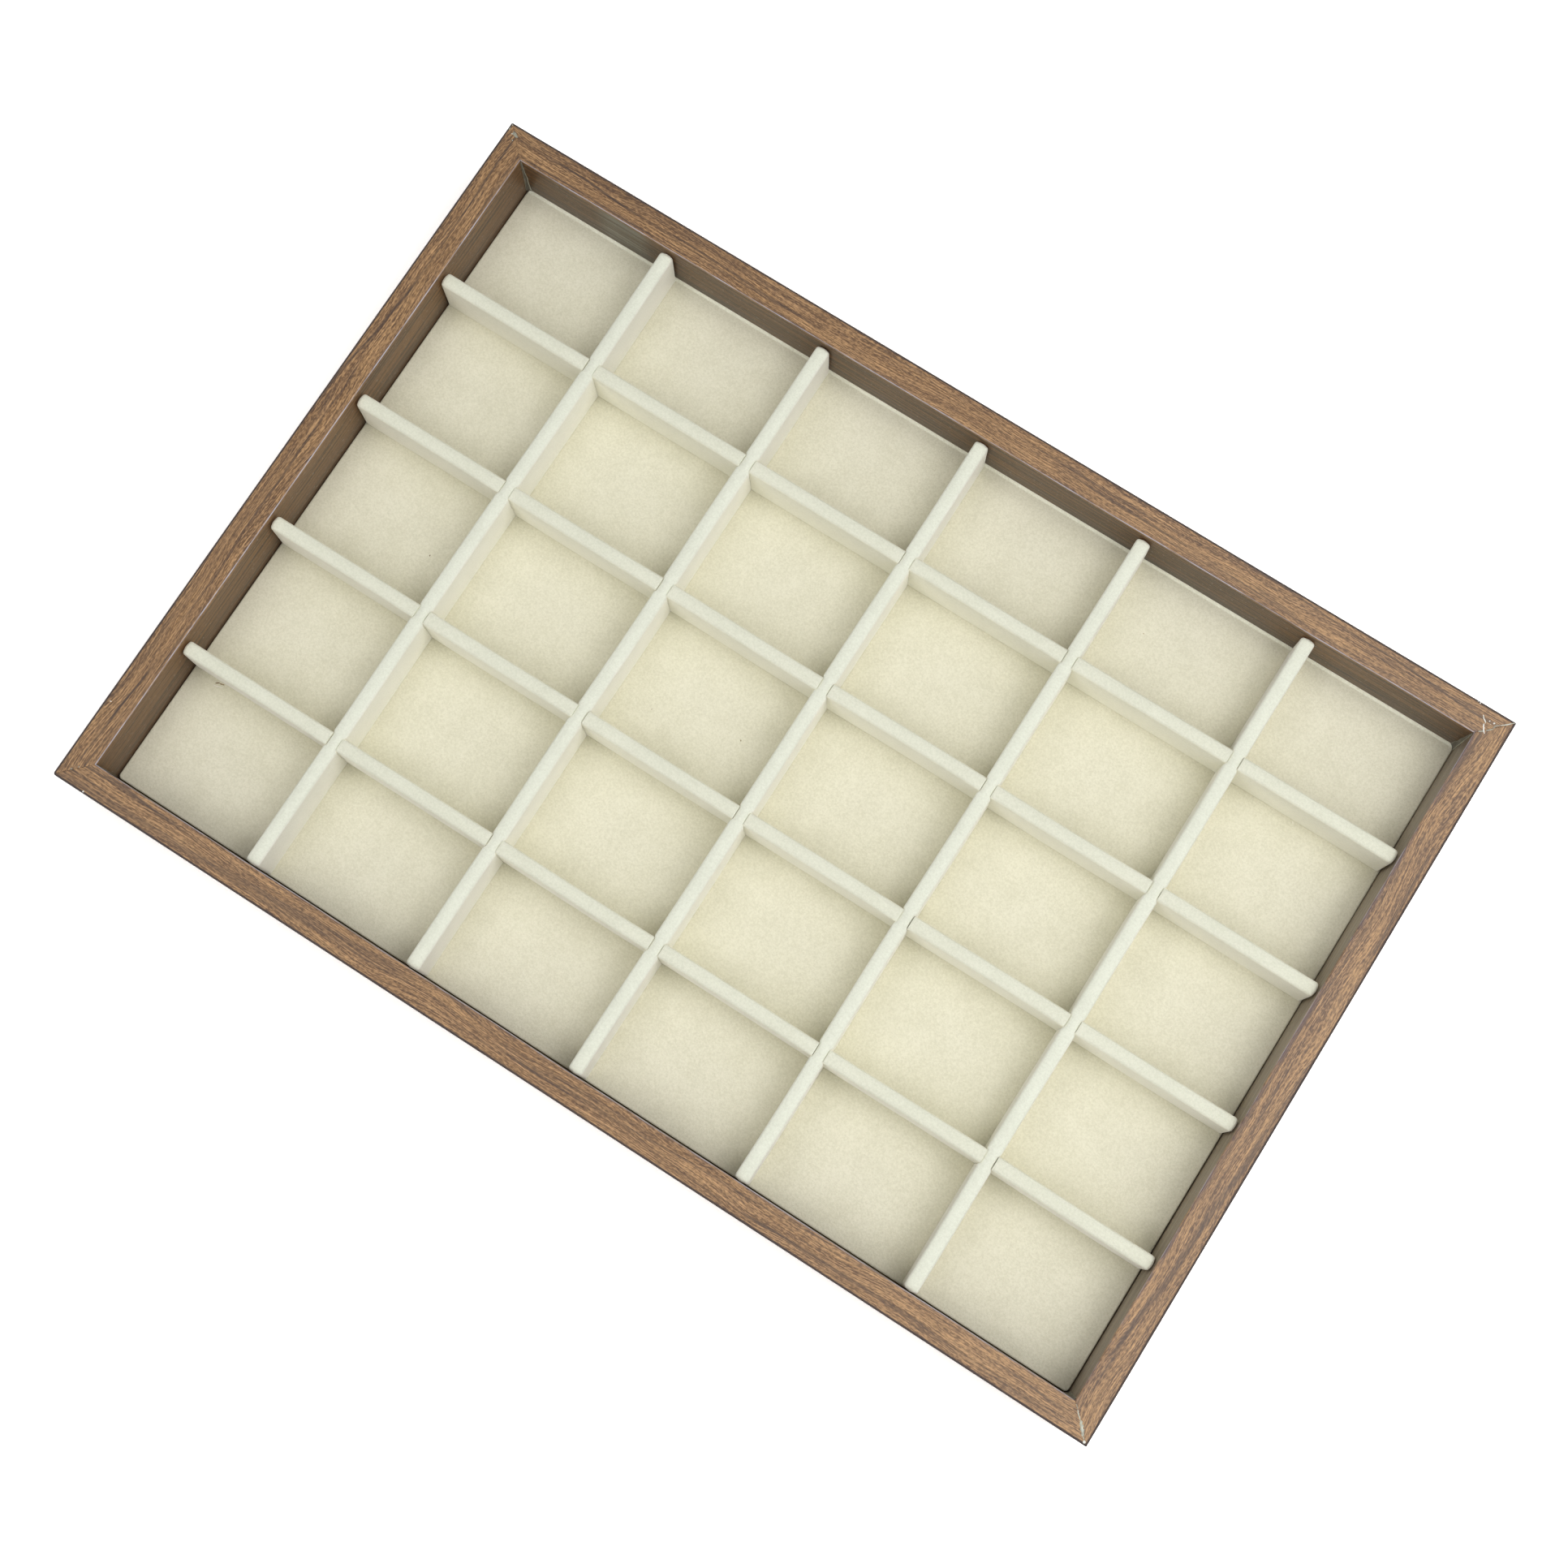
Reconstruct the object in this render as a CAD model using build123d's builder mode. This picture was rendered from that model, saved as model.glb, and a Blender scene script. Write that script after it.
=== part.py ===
from build123d import *
import os

# A flat jewelry tray, in millimetres. X runs along the long side, Y from front to back, and Z up.
# The origin is at the middle of the underside. Four mitred rails stand round a padded floor, and a
# grid of nine cloth-covered dividers rests on the floor and parts it into thirty compartments.

# Whole tray
tray_length = 350.0
tray_width = 240.0
tray_height = 30.0
cut_overrun = 5.0

# Rails: fibreboard cores wrapped in a wood-grain film
rail_width = 9.0
rail_arris_radius = 0.6
film_thickness = 0.3
rebate_width = 5.0

# Base board in the rebate, and the felt under it
base_board_thickness = 3.0
base_board_clearance = 0.2
felt_thickness = 1.0
felt_inset = 1.5
felt_corner_radius = 2.0

# V-shaped nails across the mitres
nail_leg = 5.0
nail_thickness = 0.6
nail_height = 8.0
nail_setback = 3.2

# Beads of set glue in the inner corners, thick at the foot and thin at the top
bead_foot_leg = 1.4
bead_top_leg = 0.5
bead_top_gap = 1.2
bead_hollow_share = 0.375

# Padded floor: card and foam inside a cloth that is turned under the card
pad_clearance = 0.3
pad_card_thickness = 2.0
pad_foam_thickness = 2.8
pad_cloth_thickness = 0.6
pad_corner_radius = 1.6
pad_edge_radius = 0.9
pad_turned_width = 12.0

# Dividers: stiff boards wrapped in cloth, halved together where they cross
compartment_columns = 6
compartment_rows = 5
divider_height = 17.0
divider_board_thickness = 3.0
divider_cloth_thickness = 0.75
divider_end_gap = 0.3
divider_corner_radius = 1.1
divider_edge_radius = 0.6
slot_clearance = 0.15

# Sizes that follow from the ones above
inner_length = tray_length - 2 * rail_width
inner_width = tray_width - 2 * rail_width
ledge_height = felt_thickness + base_board_thickness
foot_width = rail_width - rebate_width

pad_length = inner_length - 2 * pad_clearance
pad_width = inner_width - 2 * pad_clearance
pad_card_bottom = ledge_height + pad_cloth_thickness
pad_foam_bottom = pad_card_bottom + pad_card_thickness
pad_foam_top = pad_foam_bottom + pad_foam_thickness
pad_top = pad_foam_top + pad_cloth_thickness

divider_thickness = divider_board_thickness + 2 * divider_cloth_thickness
long_divider_length = inner_length - 2 * divider_end_gap
short_divider_length = inner_width - 2 * divider_end_gap
column_pitch = (inner_length + divider_thickness) / compartment_columns
row_pitch = (inner_width + divider_thickness) / compartment_rows
lap_height = pad_top + divider_height / 2
slot_width = divider_thickness + 2 * slot_clearance

# Each rail stands on a plane across its run, which points from the outer face inwards and up
rail_planes = {
    "front": (Plane((0, -tray_width / 2, 0), x_dir=(0, 1, 0), z_dir=(1, 0, 0)), tray_length),
    "back": (Plane((0, tray_width / 2, 0), x_dir=(0, -1, 0), z_dir=(-1, 0, 0)), tray_length),
    "left": (Plane((-tray_length / 2, 0, 0), x_dir=(1, 0, 0), z_dir=(0, -1, 0)), tray_width),
    "right": (Plane((tray_length / 2, 0, 0), x_dir=(-1, 0, 0), z_dir=(0, 1, 0)), tray_width),
}
corner_signs = [(1, 1), (-1, 1), (-1, -1), (1, -1)]

os.makedirs("parts", exist_ok=True)


def write_node(part, name):
    """Labels a finished piece and writes it as its own file."""
    part.label = name
    export_step(part, f"parts/{name}.step")


def rail_prism(plane, run, skin):
    """A mitred rail with its rebate, drawn a skin's thickness inside the finished surface."""
    with BuildPart() as prism:
        with BuildSketch(plane) as section:
            with BuildLine():
                Polyline(
                    (skin, felt_thickness + skin),
                    (skin, tray_height - skin),
                    (rail_width - skin, tray_height - skin),
                    (rail_width - skin, ledge_height),
                    (foot_width, ledge_height),
                    (foot_width, felt_thickness + skin),
                    close=True,
                )
            make_face()
            top_corners = section.vertices().group_by(Axis.Y)[-1]
            fillet(top_corners, radius=rail_arris_radius - skin)
        extrude(amount=run / 2, both=True)
        for end in (1, -1):
            outer_corner = plane.origin + plane.z_dir * (end * run / 2)
            mitre = Plane(outer_corner, z_dir=plane.x_dir + plane.z_dir * end)
            split(bisect_by=mitre, keep=Keep.BOTTOM)
    return prism.part


# V nails: each leg runs back along its own rail from a bend on the mitre
nail_corner_x = inner_length / 2 + nail_setback
nail_corner_y = inner_width / 2 + nail_setback
long_rail_leg = nail_corner_x - nail_leg / 2, nail_corner_y - nail_thickness / 2
short_rail_leg = nail_corner_x - nail_thickness / 2, nail_corner_y - nail_leg / 2
with BuildPart() as corner_v_nails:
    with BuildSketch(Plane.XY.offset(ledge_height)):
        for side_x, side_y in corner_signs:
            with Locations((side_x * long_rail_leg[0], side_y * long_rail_leg[1])):
                Rectangle(nail_leg, nail_thickness)
            with Locations((side_x * short_rail_leg[0], side_y * short_rail_leg[1])):
                Rectangle(nail_thickness, nail_leg)
    extrude(amount=nail_height)
write_node(corner_v_nails.part, "corner_v_nails")

# Rails: the film is what the finished rail has outside its core, and the nails sit in the cores
for side, (plane, run) in rail_planes.items():
    core_prism = rail_prism(plane, run, film_thickness)
    finished_prism = rail_prism(plane, run, 0)
    with BuildPart() as rail_core:
        add(core_prism)
        add(corner_v_nails.part, mode=Mode.SUBTRACT)
    write_node(rail_core.part, f"{side}_rail_core")
    with BuildPart() as rail_wrap:
        add(finished_prism)
        add(core_prism, mode=Mode.SUBTRACT)
    write_node(rail_wrap.part, f"{side}_rail_wrap")

# Base board
with BuildPart() as base_board:
    with BuildSketch(Plane.XY.offset(felt_thickness)):
        Rectangle(
            inner_length + 2 * (rebate_width - base_board_clearance),
            inner_width + 2 * (rebate_width - base_board_clearance),
        )
    extrude(amount=base_board_thickness)
write_node(base_board.part, "base_board")

# Felt under the rails and the base board
with BuildPart() as underside_felt:
    with BuildSketch():
        RectangleRounded(tray_length - 2 * felt_inset, tray_width - 2 * felt_inset, felt_corner_radius)
    extrude(amount=felt_thickness)
write_node(underside_felt.part, "underside_felt")

# Glue beads: a hollow-faced wedge in each inner corner, tapering from the base board up
with BuildPart() as corner_glue_beads:
    for side_x, side_y in corner_signs:
        for level, leg in ((ledge_height, bead_foot_leg), (tray_height - bead_top_gap, bead_top_leg)):
            corner = Plane(
                (side_x * inner_length / 2, side_y * inner_width / 2, level), x_dir=(-side_x, 0, 0)
            )
            inward = leg * side_x * side_y
            with BuildSketch(corner):
                with BuildLine():
                    Line((0, 0), (leg, 0))
                    ThreePointArc(
                        (leg, 0),
                        (leg * bead_hollow_share, inward * bead_hollow_share),
                        (0, inward),
                    )
                    Line((0, inward), (0, 0))
                make_face()
        loft()
write_node(corner_glue_beads.part, "corner_glue_beads")

# Padded floor: one filling block is shared out to the card below and the foam above it
with BuildPart() as pad_filling:
    with BuildSketch(Plane.XY.offset(pad_card_bottom)):
        RectangleRounded(
            pad_length - 2 * pad_cloth_thickness,
            pad_width - 2 * pad_cloth_thickness,
            pad_corner_radius - pad_cloth_thickness,
        )
    extrude(amount=pad_card_thickness + pad_foam_thickness)
    filling_top_edges = pad_filling.faces().sort_by(Axis.Z)[-1].edges()
    fillet(filling_top_edges, radius=pad_edge_radius - pad_cloth_thickness)

with BuildPart() as pad_board:
    add(pad_filling.part)
    split(bisect_by=Plane.XY.offset(pad_foam_bottom), keep=Keep.BOTTOM)
write_node(pad_board.part, "pad_board")

with BuildPart() as pad_foam:
    add(pad_filling.part)
    split(bisect_by=Plane.XY.offset(pad_foam_bottom), keep=Keep.TOP)
write_node(pad_foam.part, "pad_foam")

with BuildPart() as pad_cover:
    with BuildSketch(Plane.XY.offset(ledge_height)):
        RectangleRounded(pad_length, pad_width, pad_corner_radius)
    extrude(amount=pad_top - ledge_height)
    fillet(pad_cover.faces().sort_by(Axis.Z)[-1].edges(), radius=pad_edge_radius)
    add(pad_filling.part, mode=Mode.SUBTRACT)
    with BuildSketch(Plane.XY.offset(ledge_height)):
        Rectangle(pad_length - 2 * pad_turned_width, pad_width - 2 * pad_turned_width)
    extrude(amount=pad_cloth_thickness, mode=Mode.SUBTRACT)
write_node(pad_cover.part, "pad_cover")


def divider_blank(plane, length, skin):
    """A divider standing on the pad with its two top corners rounded, a skin inside its surface."""
    half_run = length / 2 - skin
    with BuildPart() as blank:
        with BuildSketch(plane) as elevation:
            with BuildLine():
                Polyline(
                    (-half_run, pad_top + skin),
                    (half_run, pad_top + skin),
                    (half_run, pad_top + divider_height - skin),
                    (-half_run, pad_top + divider_height - skin),
                    close=True,
                )
            make_face()
            top_corners = elevation.vertices().group_by(Axis.Y)[-1]
            fillet(top_corners, radius=divider_corner_radius - skin)
        extrude(amount=divider_thickness / 2 - skin, both=True)
    return blank.part


def slot_cutters(plane, places, low, high, width):
    """One block for each slot, wider than the divider is thick, between two heights."""
    with BuildPart() as cutters:
        with BuildSketch(plane):
            with Locations([(place, (low + high) / 2) for place in places]):
                Rectangle(width, high - low)
        extrude(amount=divider_thickness, both=True)
    return cutters.part


def write_divider(name, plane, length, places, opens_up):
    """Writes a divider's board and its cloth, both slotted, with the cloth lining the slots."""
    if opens_up:
        low, high = lap_height, pad_top + divider_height + cut_overrun
        board_low, board_high = low - divider_cloth_thickness, high
    else:
        low, high = pad_top - cut_overrun, lap_height + slot_clearance
        board_low, board_high = low, high + divider_cloth_thickness
    board_blank = divider_blank(plane, length, divider_cloth_thickness)
    board_slots = slot_cutters(
        plane, places, board_low, board_high, slot_width + 2 * divider_cloth_thickness
    )
    finished_blank = divider_blank(plane, length, 0)
    finished_slots = slot_cutters(plane, places, low, high, slot_width)

    with BuildPart() as divider_core:
        add(board_blank)
        add(board_slots, mode=Mode.SUBTRACT)
    write_node(divider_core.part, f"{name}_core")

    with BuildPart() as divider_cover:
        add(finished_blank)
        broad_faces = divider_cover.faces().filter_by(Axis(plane.origin, plane.z_dir))
        resting_edges = divider_cover.faces().sort_by(Axis.Z)[0].edges()
        rounded_edges = ShapeList(edge for edge in broad_faces.edges() if edge not in resting_edges)
        fillet(rounded_edges, radius=divider_edge_radius)
        add(finished_slots, mode=Mode.SUBTRACT)
        add(divider_core.part, mode=Mode.SUBTRACT)
    write_node(divider_cover.part, f"{name}_cover")


# Where the dividers stand, counted from the middle of the tray
column_places = [column_pitch * (n - compartment_columns / 2) for n in range(1, compartment_columns)]
row_places = [row_pitch * (n - compartment_rows / 2) for n in range(1, compartment_rows)]

# Long dividers are slotted from above, and number from the front to the back
for number, row_place in enumerate(row_places, start=1):
    standing_plane = Plane((0, row_place, 0), x_dir=(1, 0, 0), z_dir=(0, -1, 0))
    write_divider(f"long_divider_{number}", standing_plane, long_divider_length, column_places, True)

# Short dividers are slotted from below, and number from left to right
for number, column_place in enumerate(column_places, start=1):
    standing_plane = Plane((column_place, 0, 0), x_dir=(0, 1, 0), z_dir=(1, 0, 0))
    write_divider(f"short_divider_{number}", standing_plane, short_divider_length, row_places, False)
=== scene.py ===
# %% [markdown]
# # A jewelry tray with thirty compartments
#
# The real tray is a low frame of four mitred rails, wrapped in a film that is printed with wood grain.
# Inside lies a padded floor under cream suede cloth, and on it stands a grid of nine cloth-covered
# boards, halved together where they cross. The CAD model gives every piece its size and place. This
# file gives each visible piece its finish, and models again what is soft: the cloth, the felt and the
# glue. Lengths are in metres, and MM turns a size on the bench into metres.

# %% Load the frame
import math

import bpy
import numpy as np
from mathutils import Euler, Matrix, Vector


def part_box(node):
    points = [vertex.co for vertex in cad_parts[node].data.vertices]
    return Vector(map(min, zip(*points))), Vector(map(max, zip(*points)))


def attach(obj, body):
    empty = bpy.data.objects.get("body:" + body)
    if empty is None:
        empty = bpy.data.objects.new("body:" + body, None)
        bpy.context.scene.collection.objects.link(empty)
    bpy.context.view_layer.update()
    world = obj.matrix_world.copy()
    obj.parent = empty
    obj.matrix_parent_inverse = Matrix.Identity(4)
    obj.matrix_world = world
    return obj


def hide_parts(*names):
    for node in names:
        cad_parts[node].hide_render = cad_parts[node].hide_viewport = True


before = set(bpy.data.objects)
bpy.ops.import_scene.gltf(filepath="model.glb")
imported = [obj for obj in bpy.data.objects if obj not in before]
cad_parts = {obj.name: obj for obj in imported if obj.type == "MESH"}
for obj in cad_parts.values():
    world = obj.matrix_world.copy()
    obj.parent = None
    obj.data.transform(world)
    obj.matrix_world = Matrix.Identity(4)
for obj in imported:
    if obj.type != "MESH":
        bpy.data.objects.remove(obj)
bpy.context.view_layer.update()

MM = 0.001

# %% [markdown]
# ## Sizes read from the frame
#
# A size that the CAD model already holds is measured on its nodes, so nothing here can drift away from
# it. The rails give the rim and the inside faces, the pad gives the floor, and the dividers give the
# places of the crossings.

# %% Sizes from the CAD nodes
rail_low, rail_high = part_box("front_rail_wrap")
pad_low, pad_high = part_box("pad_cover")
felt_low, felt_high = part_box("underside_felt")
divider_low, divider_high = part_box("long_divider_1_cover")
board_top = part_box("base_board")[1].z

HALF_LENGTH, HALF_WIDTH, RIM = rail_high.x, -rail_low.y, rail_high.z
RAIL_WIDTH = rail_high.y - rail_low.y
RAIL_FOOT = rail_low.z
INNER_X, INNER_Y = HALF_LENGTH - RAIL_WIDTH, HALF_WIDTH - RAIL_WIDTH
PAD_TOP, DIVIDER_TOP = pad_high.z, divider_high.z
HALF_BOARD = (divider_high.y - divider_low.y) / 2
LAP = (divider_low.z + divider_high.z) / 2

LONG_NAMES = [f"long_divider_{number}" for number in range(1, 5)]
SHORT_NAMES = [f"short_divider_{number}" for number in range(1, 6)]
middle = {name: sum(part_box(f"{name}_cover"), Vector()) / 2 for name in LONG_NAMES + SHORT_NAMES}
ROW_PLACES = np.array([middle[name].y for name in LONG_NAMES])
COLUMN_PLACES = np.array([middle[name].x for name in SHORT_NAMES])
print("inside faces at", round(INNER_X, 4), round(INNER_Y, 4))
print("rim", round(RIM, 4), "floor", round(PAD_TOP, 4), "divider tops", round(DIVIDER_TOP, 4))
print("rows", ROW_PLACES.round(4), "columns", COLUMN_PLACES.round(4))

# %% [markdown]
# ## Camera
#
# The photograph looks down almost along the vertical from about 0.65 m above the rim. Its place and
# lens were worked out from the straight edges of the rim, the floor and the inner corners, so the
# rails land on the same pixels. The picture is 1932 pixels square.

# %% Camera
PICTURE_SIDE, FOCAL_PIXELS = 1932, 2832.5
HALF_PIXEL = 0.5 / PICTURE_SIDE
SENSOR = 36.0
# The camera's place, and its turns about X, Y and Z in degrees
CAMERA_PLACE = (77.18 * MM, -106.65 * MM, RIM + 652.64 * MM)
CAMERA_TURN = (10.487, 0.649, 32.549)

camera = bpy.data.objects.new("camera", bpy.data.cameras.new("camera"))
bpy.context.scene.collection.objects.link(camera)
camera.location = CAMERA_PLACE
camera.rotation_euler = Euler([math.radians(turn) for turn in CAMERA_TURN])
camera.data.sensor_width = SENSOR
camera.data.lens = FOCAL_PIXELS / PICTURE_SIDE * SENSOR
camera.data.shift_x, camera.data.shift_y = -HALF_PIXEL, HALF_PIXEL
bpy.context.scene.camera = camera
print("lens", round(camera.data.lens, 2), "mm")

# %% [markdown]
# ## Light
#
# The picture is bright and soft, with hardly any shadow. Each compartment is darkest along its right
# side, and the tray grows brighter from left to right, so a lamp stands near on the right. The largest
# one stands high behind it and puts the faint gleam on the right rail. Another fills the front left, a
# low one grazes the right sides of the dividers, and a weak even sky lights the rest. Area lamps are the
# ones to take here, because the larger a lamp is, the softer its shadows are.

# %% Lamps
# Each lamp: its place and its size in metres, and its power in watts
LAMPS = {
    "lamp_right": ((0.55, -0.10, 0.75), 0.5, 1.8),
    "lamp_back_right": ((0.35, 0.25, 1.10), 0.8, 5.5),
    "lamp_front_left": ((-0.40, -0.50, 0.90), 0.6, 3.1),
    "lamp_low_right": ((0.90, -0.10, 0.45), 0.5, 0.7),
}

for name, (place, size, power) in LAMPS.items():
    lamp = bpy.data.objects.new(name, bpy.data.lights.new(name, "AREA"))
    lamp.data.size, lamp.data.energy = size, power
    lamp.location = place
    lamp.rotation_euler = (-lamp.location).to_track_quat("-Z", "Y").to_euler()
    bpy.context.scene.collection.objects.link(lamp)
bpy.context.scene.view_settings.view_transform = "Standard"
print("lamps", list(LAMPS))

# %% [markdown]
# ## Short calls for materials
#
# Every finish below is built from the same few node types. Graph adds a node, sets or joins its inputs,
# and hands back the socket that the next step needs, so that a finish reads from top to bottom like a
# recipe. The same nodes could be joined by hand in the shader editor, but then nobody could read why.

# %% Short calls for materials
class Graph:
    """A node tree, with calls that add nodes and join them."""

    def __init__(self, tree):
        self.tree = tree

    def add(self, kind, inputs, **settings):
        """Adds a node; an input given as a socket is joined, and any other is set."""
        made = self.tree.nodes.new(kind)
        for key, value in settings.items():
            setattr(made, key, value)
        for key, value in inputs.items():
            if isinstance(value, bpy.types.NodeSocket):
                self.tree.links.new(value, made.inputs[key])
            else:
                made.inputs[key].default_value = value
        return made

    def places(self, scale, turn=(0, 0, 0), uv=False):
        """Object coordinates in millimetres, or the piece's own UV map, stretched by a scale."""
        source = self.add("ShaderNodeTexCoord", {}).outputs["UV" if uv else "Object"]
        return self.stretched(source, scale, turn=turn)

    def stretched(self, places, scale, start=(0, 0, 0), turn=(0, 0, 0)):
        """Places already known, turned into millimetres, stretched by a scale and begun elsewhere."""
        inputs = {"Vector": places, "Scale": [value / MM for value in scale]}
        return self.add("ShaderNodeMapping", {**inputs, "Location": start, "Rotation": turn}).outputs[0]

    def coordinate(self, source, axis):
        """One axis of the piece's UV map or of its object coordinates, in metres."""
        place = self.add("ShaderNodeTexCoord", {}).outputs[source]
        return self.add("ShaderNodeSeparateXYZ", {0: place}).outputs[axis]

    def moved(self, places, amount):
        """Places moved along their second axis by an amount that may vary."""
        shift = self.add("ShaderNodeCombineXYZ", {"Y": amount}).outputs[0]
        return self.add("ShaderNodeVectorMath", {0: places, 1: shift}, operation="ADD").outputs[0]

    def noise(self, places, detail=2.0, rough=0.5, distortion=0.0):
        """Soft random values about 0.5; one blob is about one unit of the places given."""
        inputs = {"Vector": places, "Scale": 1.0, "Detail": detail, "Roughness": rough}
        return self.add("ShaderNodeTexNoise", {**inputs, "Distortion": distortion}).outputs[0]

    def sum_of(self, operation, first, second=0.0, third=0.0):
        """One step of arithmetic on numbers or sockets."""
        return self.add("ShaderNodeMath", {0: first, 1: second, 2: third}, operation=operation).outputs[0]

    def times(self, first, second):
        """The product of two numbers or sockets."""
        return self.sum_of("MULTIPLY", first, second)

    def between(self, value, low, high, start=0.0, end=1.0):
        """Maps low..high smoothly to start..end and holds it there outside."""
        inputs = {"Value": value, "From Min": low, "From Max": high, "To Min": start, "To Max": end}
        return self.add("ShaderNodeMapRange", inputs, interpolation_type="SMOOTHSTEP").outputs[0]

    def blend(self, share, first, second, how="MIX"):
        """Mixes two colours by a share from 0 to 1."""
        made = self.add("ShaderNodeMix", {}, data_type="RGBA", blend_type=how)
        for socket, value in (("Factor_Float", share), ("A_Color", first), ("B_Color", second)):
            target = next(s for s in made.inputs if s.identifier == socket)
            if isinstance(value, bpy.types.NodeSocket):
                self.tree.links.new(value, target)
            else:
                target.default_value = (*value, 1) if isinstance(value, tuple) else value
        return next(s for s in made.outputs if s.identifier == "Result_Color")

    def ramp(self, value, *stops):
        """A colour for a value, through stops of (place, colour)."""
        made = self.add("ShaderNodeValToRGB", {"Fac": value})
        band = made.color_ramp
        while len(band.elements) < len(stops):
            band.elements.new(0.5)
        for element, (place, colour) in zip(band.elements, stops):
            element.position, element.color = place, (*colour, 1)
        return made.outputs["Color"]


print("calls of Graph:", [name for name in vars(Graph) if not name.startswith("_")])

# %% [markdown]
# ## A finish
#
# A Finish is a Graph inside a material. Every surface of the tray is one Principled shader, which
# already holds colour, roughness, sheen and metal, and so only its inputs differ from finish to finish.

# %% A finish
class Finish(Graph):
    """A material with one main shader, whose plain values are set by name."""

    def __init__(self, name, roughness, **shader_values):
        self.material = bpy.data.materials.new(name)
        self.material.use_nodes = True
        super().__init__(self.material.node_tree)
        self.shader = self.tree.nodes["Principled BSDF"]
        self.shader.inputs["Roughness"].default_value = roughness
        for key, value in shader_values.items():
            self.shader.inputs[key.replace("_", " ")].default_value = value

    def relief(self, height, depth):
        """A bump of the given depth in metres over heights from 0 to 1."""
        bump = self.add("ShaderNodeBump", {"Height": height, "Distance": depth, "Strength": 1.0})
        self.set("Normal", bump.outputs[0])

    def set(self, socket, value):
        """Joins a socket of this graph to the shader."""
        self.tree.links.new(value, self.shader.inputs[socket])


print("calls of Finish:", [name for name in vars(Finish) if not name.startswith("_")])

# %% [markdown]
# ## White sky
#
# The photograph has a plain white ground. More light would bleach the tray, so Light Path makes the sky
# white only to the camera and in reflections. To all other rays it is weaker and even.

# %% White sky
SKY_EVEN = 0.28


def seen_directly(graph):
    """One for rays from the camera and for reflected ones, and zero for all others."""
    rays = graph.add("ShaderNodeLightPath", {}).outputs
    return graph.sum_of("MAXIMUM", rays["Is Camera Ray"], rays["Is Glossy Ray"])


world = bpy.data.worlds.new("studio")
world.use_nodes = True
bpy.context.scene.world = world
sky = Graph(world.node_tree)
strength = sky.sum_of("MAXIMUM", seen_directly(sky), SKY_EVEN)
sky.tree.links.new(strength, sky.tree.nodes["Background"].inputs["Strength"])
sky.tree.nodes["Background"].inputs["Color"].default_value = (1, 1, 1, 1)
print("the sky lights with a strength of", SKY_EVEN)

# %% [markdown]
# ## White floor
#
# The floor is a large square under the tray, and takes its shadow. It looks white to the camera and in
# reflections, and is a pale grey to all other rays. Further away it turns plain white, so that it meets
# the sky without an edge.

# %% White floor
FLOOR_SIZE = 6.0
FLOOR_PALE, FLOOR_WHITE = (0.8, 0.8, 0.8), (1.75, 1.75, 1.75)
WHITE_FROM, WHITE_TO = 0.40, 0.80

floor_finish = Finish("floor_white", 0.9, Specular_IOR_Level=0.0, Emission_Color=(1, 1, 1, 1))
seen = seen_directly(floor_finish)
floor_finish.set("Base Color", floor_finish.blend(seen, FLOOR_PALE, FLOOR_WHITE))
floor_place = floor_finish.add("ShaderNodeTexCoord", {}).outputs["Object"]
far_away = floor_finish.add("ShaderNodeVectorMath", {0: floor_place}, operation="LENGTH").outputs["Value"]
far_share = floor_finish.between(far_away, WHITE_FROM, WHITE_TO)
floor_finish.set("Emission Strength", floor_finish.times(seen, far_share))

floor_mesh = bpy.data.meshes.new("floor")
floor_corners = np.array([(-1, -1, 0), (1, -1, 0), (1, 1, 0), (-1, 1, 0)]) * FLOOR_SIZE / 2
floor_mesh.from_pydata(floor_corners.tolist(), [], [(0, 1, 2, 3)])
floor_mesh.materials.append(floor_finish.material)
floor = bpy.data.objects.new("floor", floor_mesh)
bpy.context.scene.collection.objects.link(floor)
print("floor", FLOOR_SIZE, "m wide, plain white beyond", WHITE_TO, "m")

# %% [markdown]
# ## The section of a rail
#
# A rail's film is one outline of points, drawn at the surface and again a skin's thickness inside it:
# it turns under the foot, runs up the outer face, over the rim between two bent arrises, and down the
# inner face. It stops a hair below the rim of the CAD model, so that crumbs of dried glue can lie on it
# and the tray still has its full height. How far each point lies round the outline is kept as well,
# because a printed film is laid out by that distance, like paper round a box.

# %% The section of a rail
ARRIS = 0.38 * MM
FILM_SKIN, CRUMB_ROOM = 0.15 * MM, 0.12 * MM
FILM_TOP = RIM - CRUMB_ROOM
FOOT_WIDTH = 4.0 * MM
FOOT_BEND = 0.4 * MM
ARC_STEPS = 5
OUTER_LINES, TOP_LINES, INNER_LINES = 12, 40, 10


def arc(centre, radius, start, end, steps):
    """Points on a circle about a centre, from one angle to another, in degrees."""
    angles = np.radians(np.linspace(start, end, steps + 1))
    return np.column_stack([centre[0] + radius * np.cos(angles), centre[1] + radius * np.sin(angles)])


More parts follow.
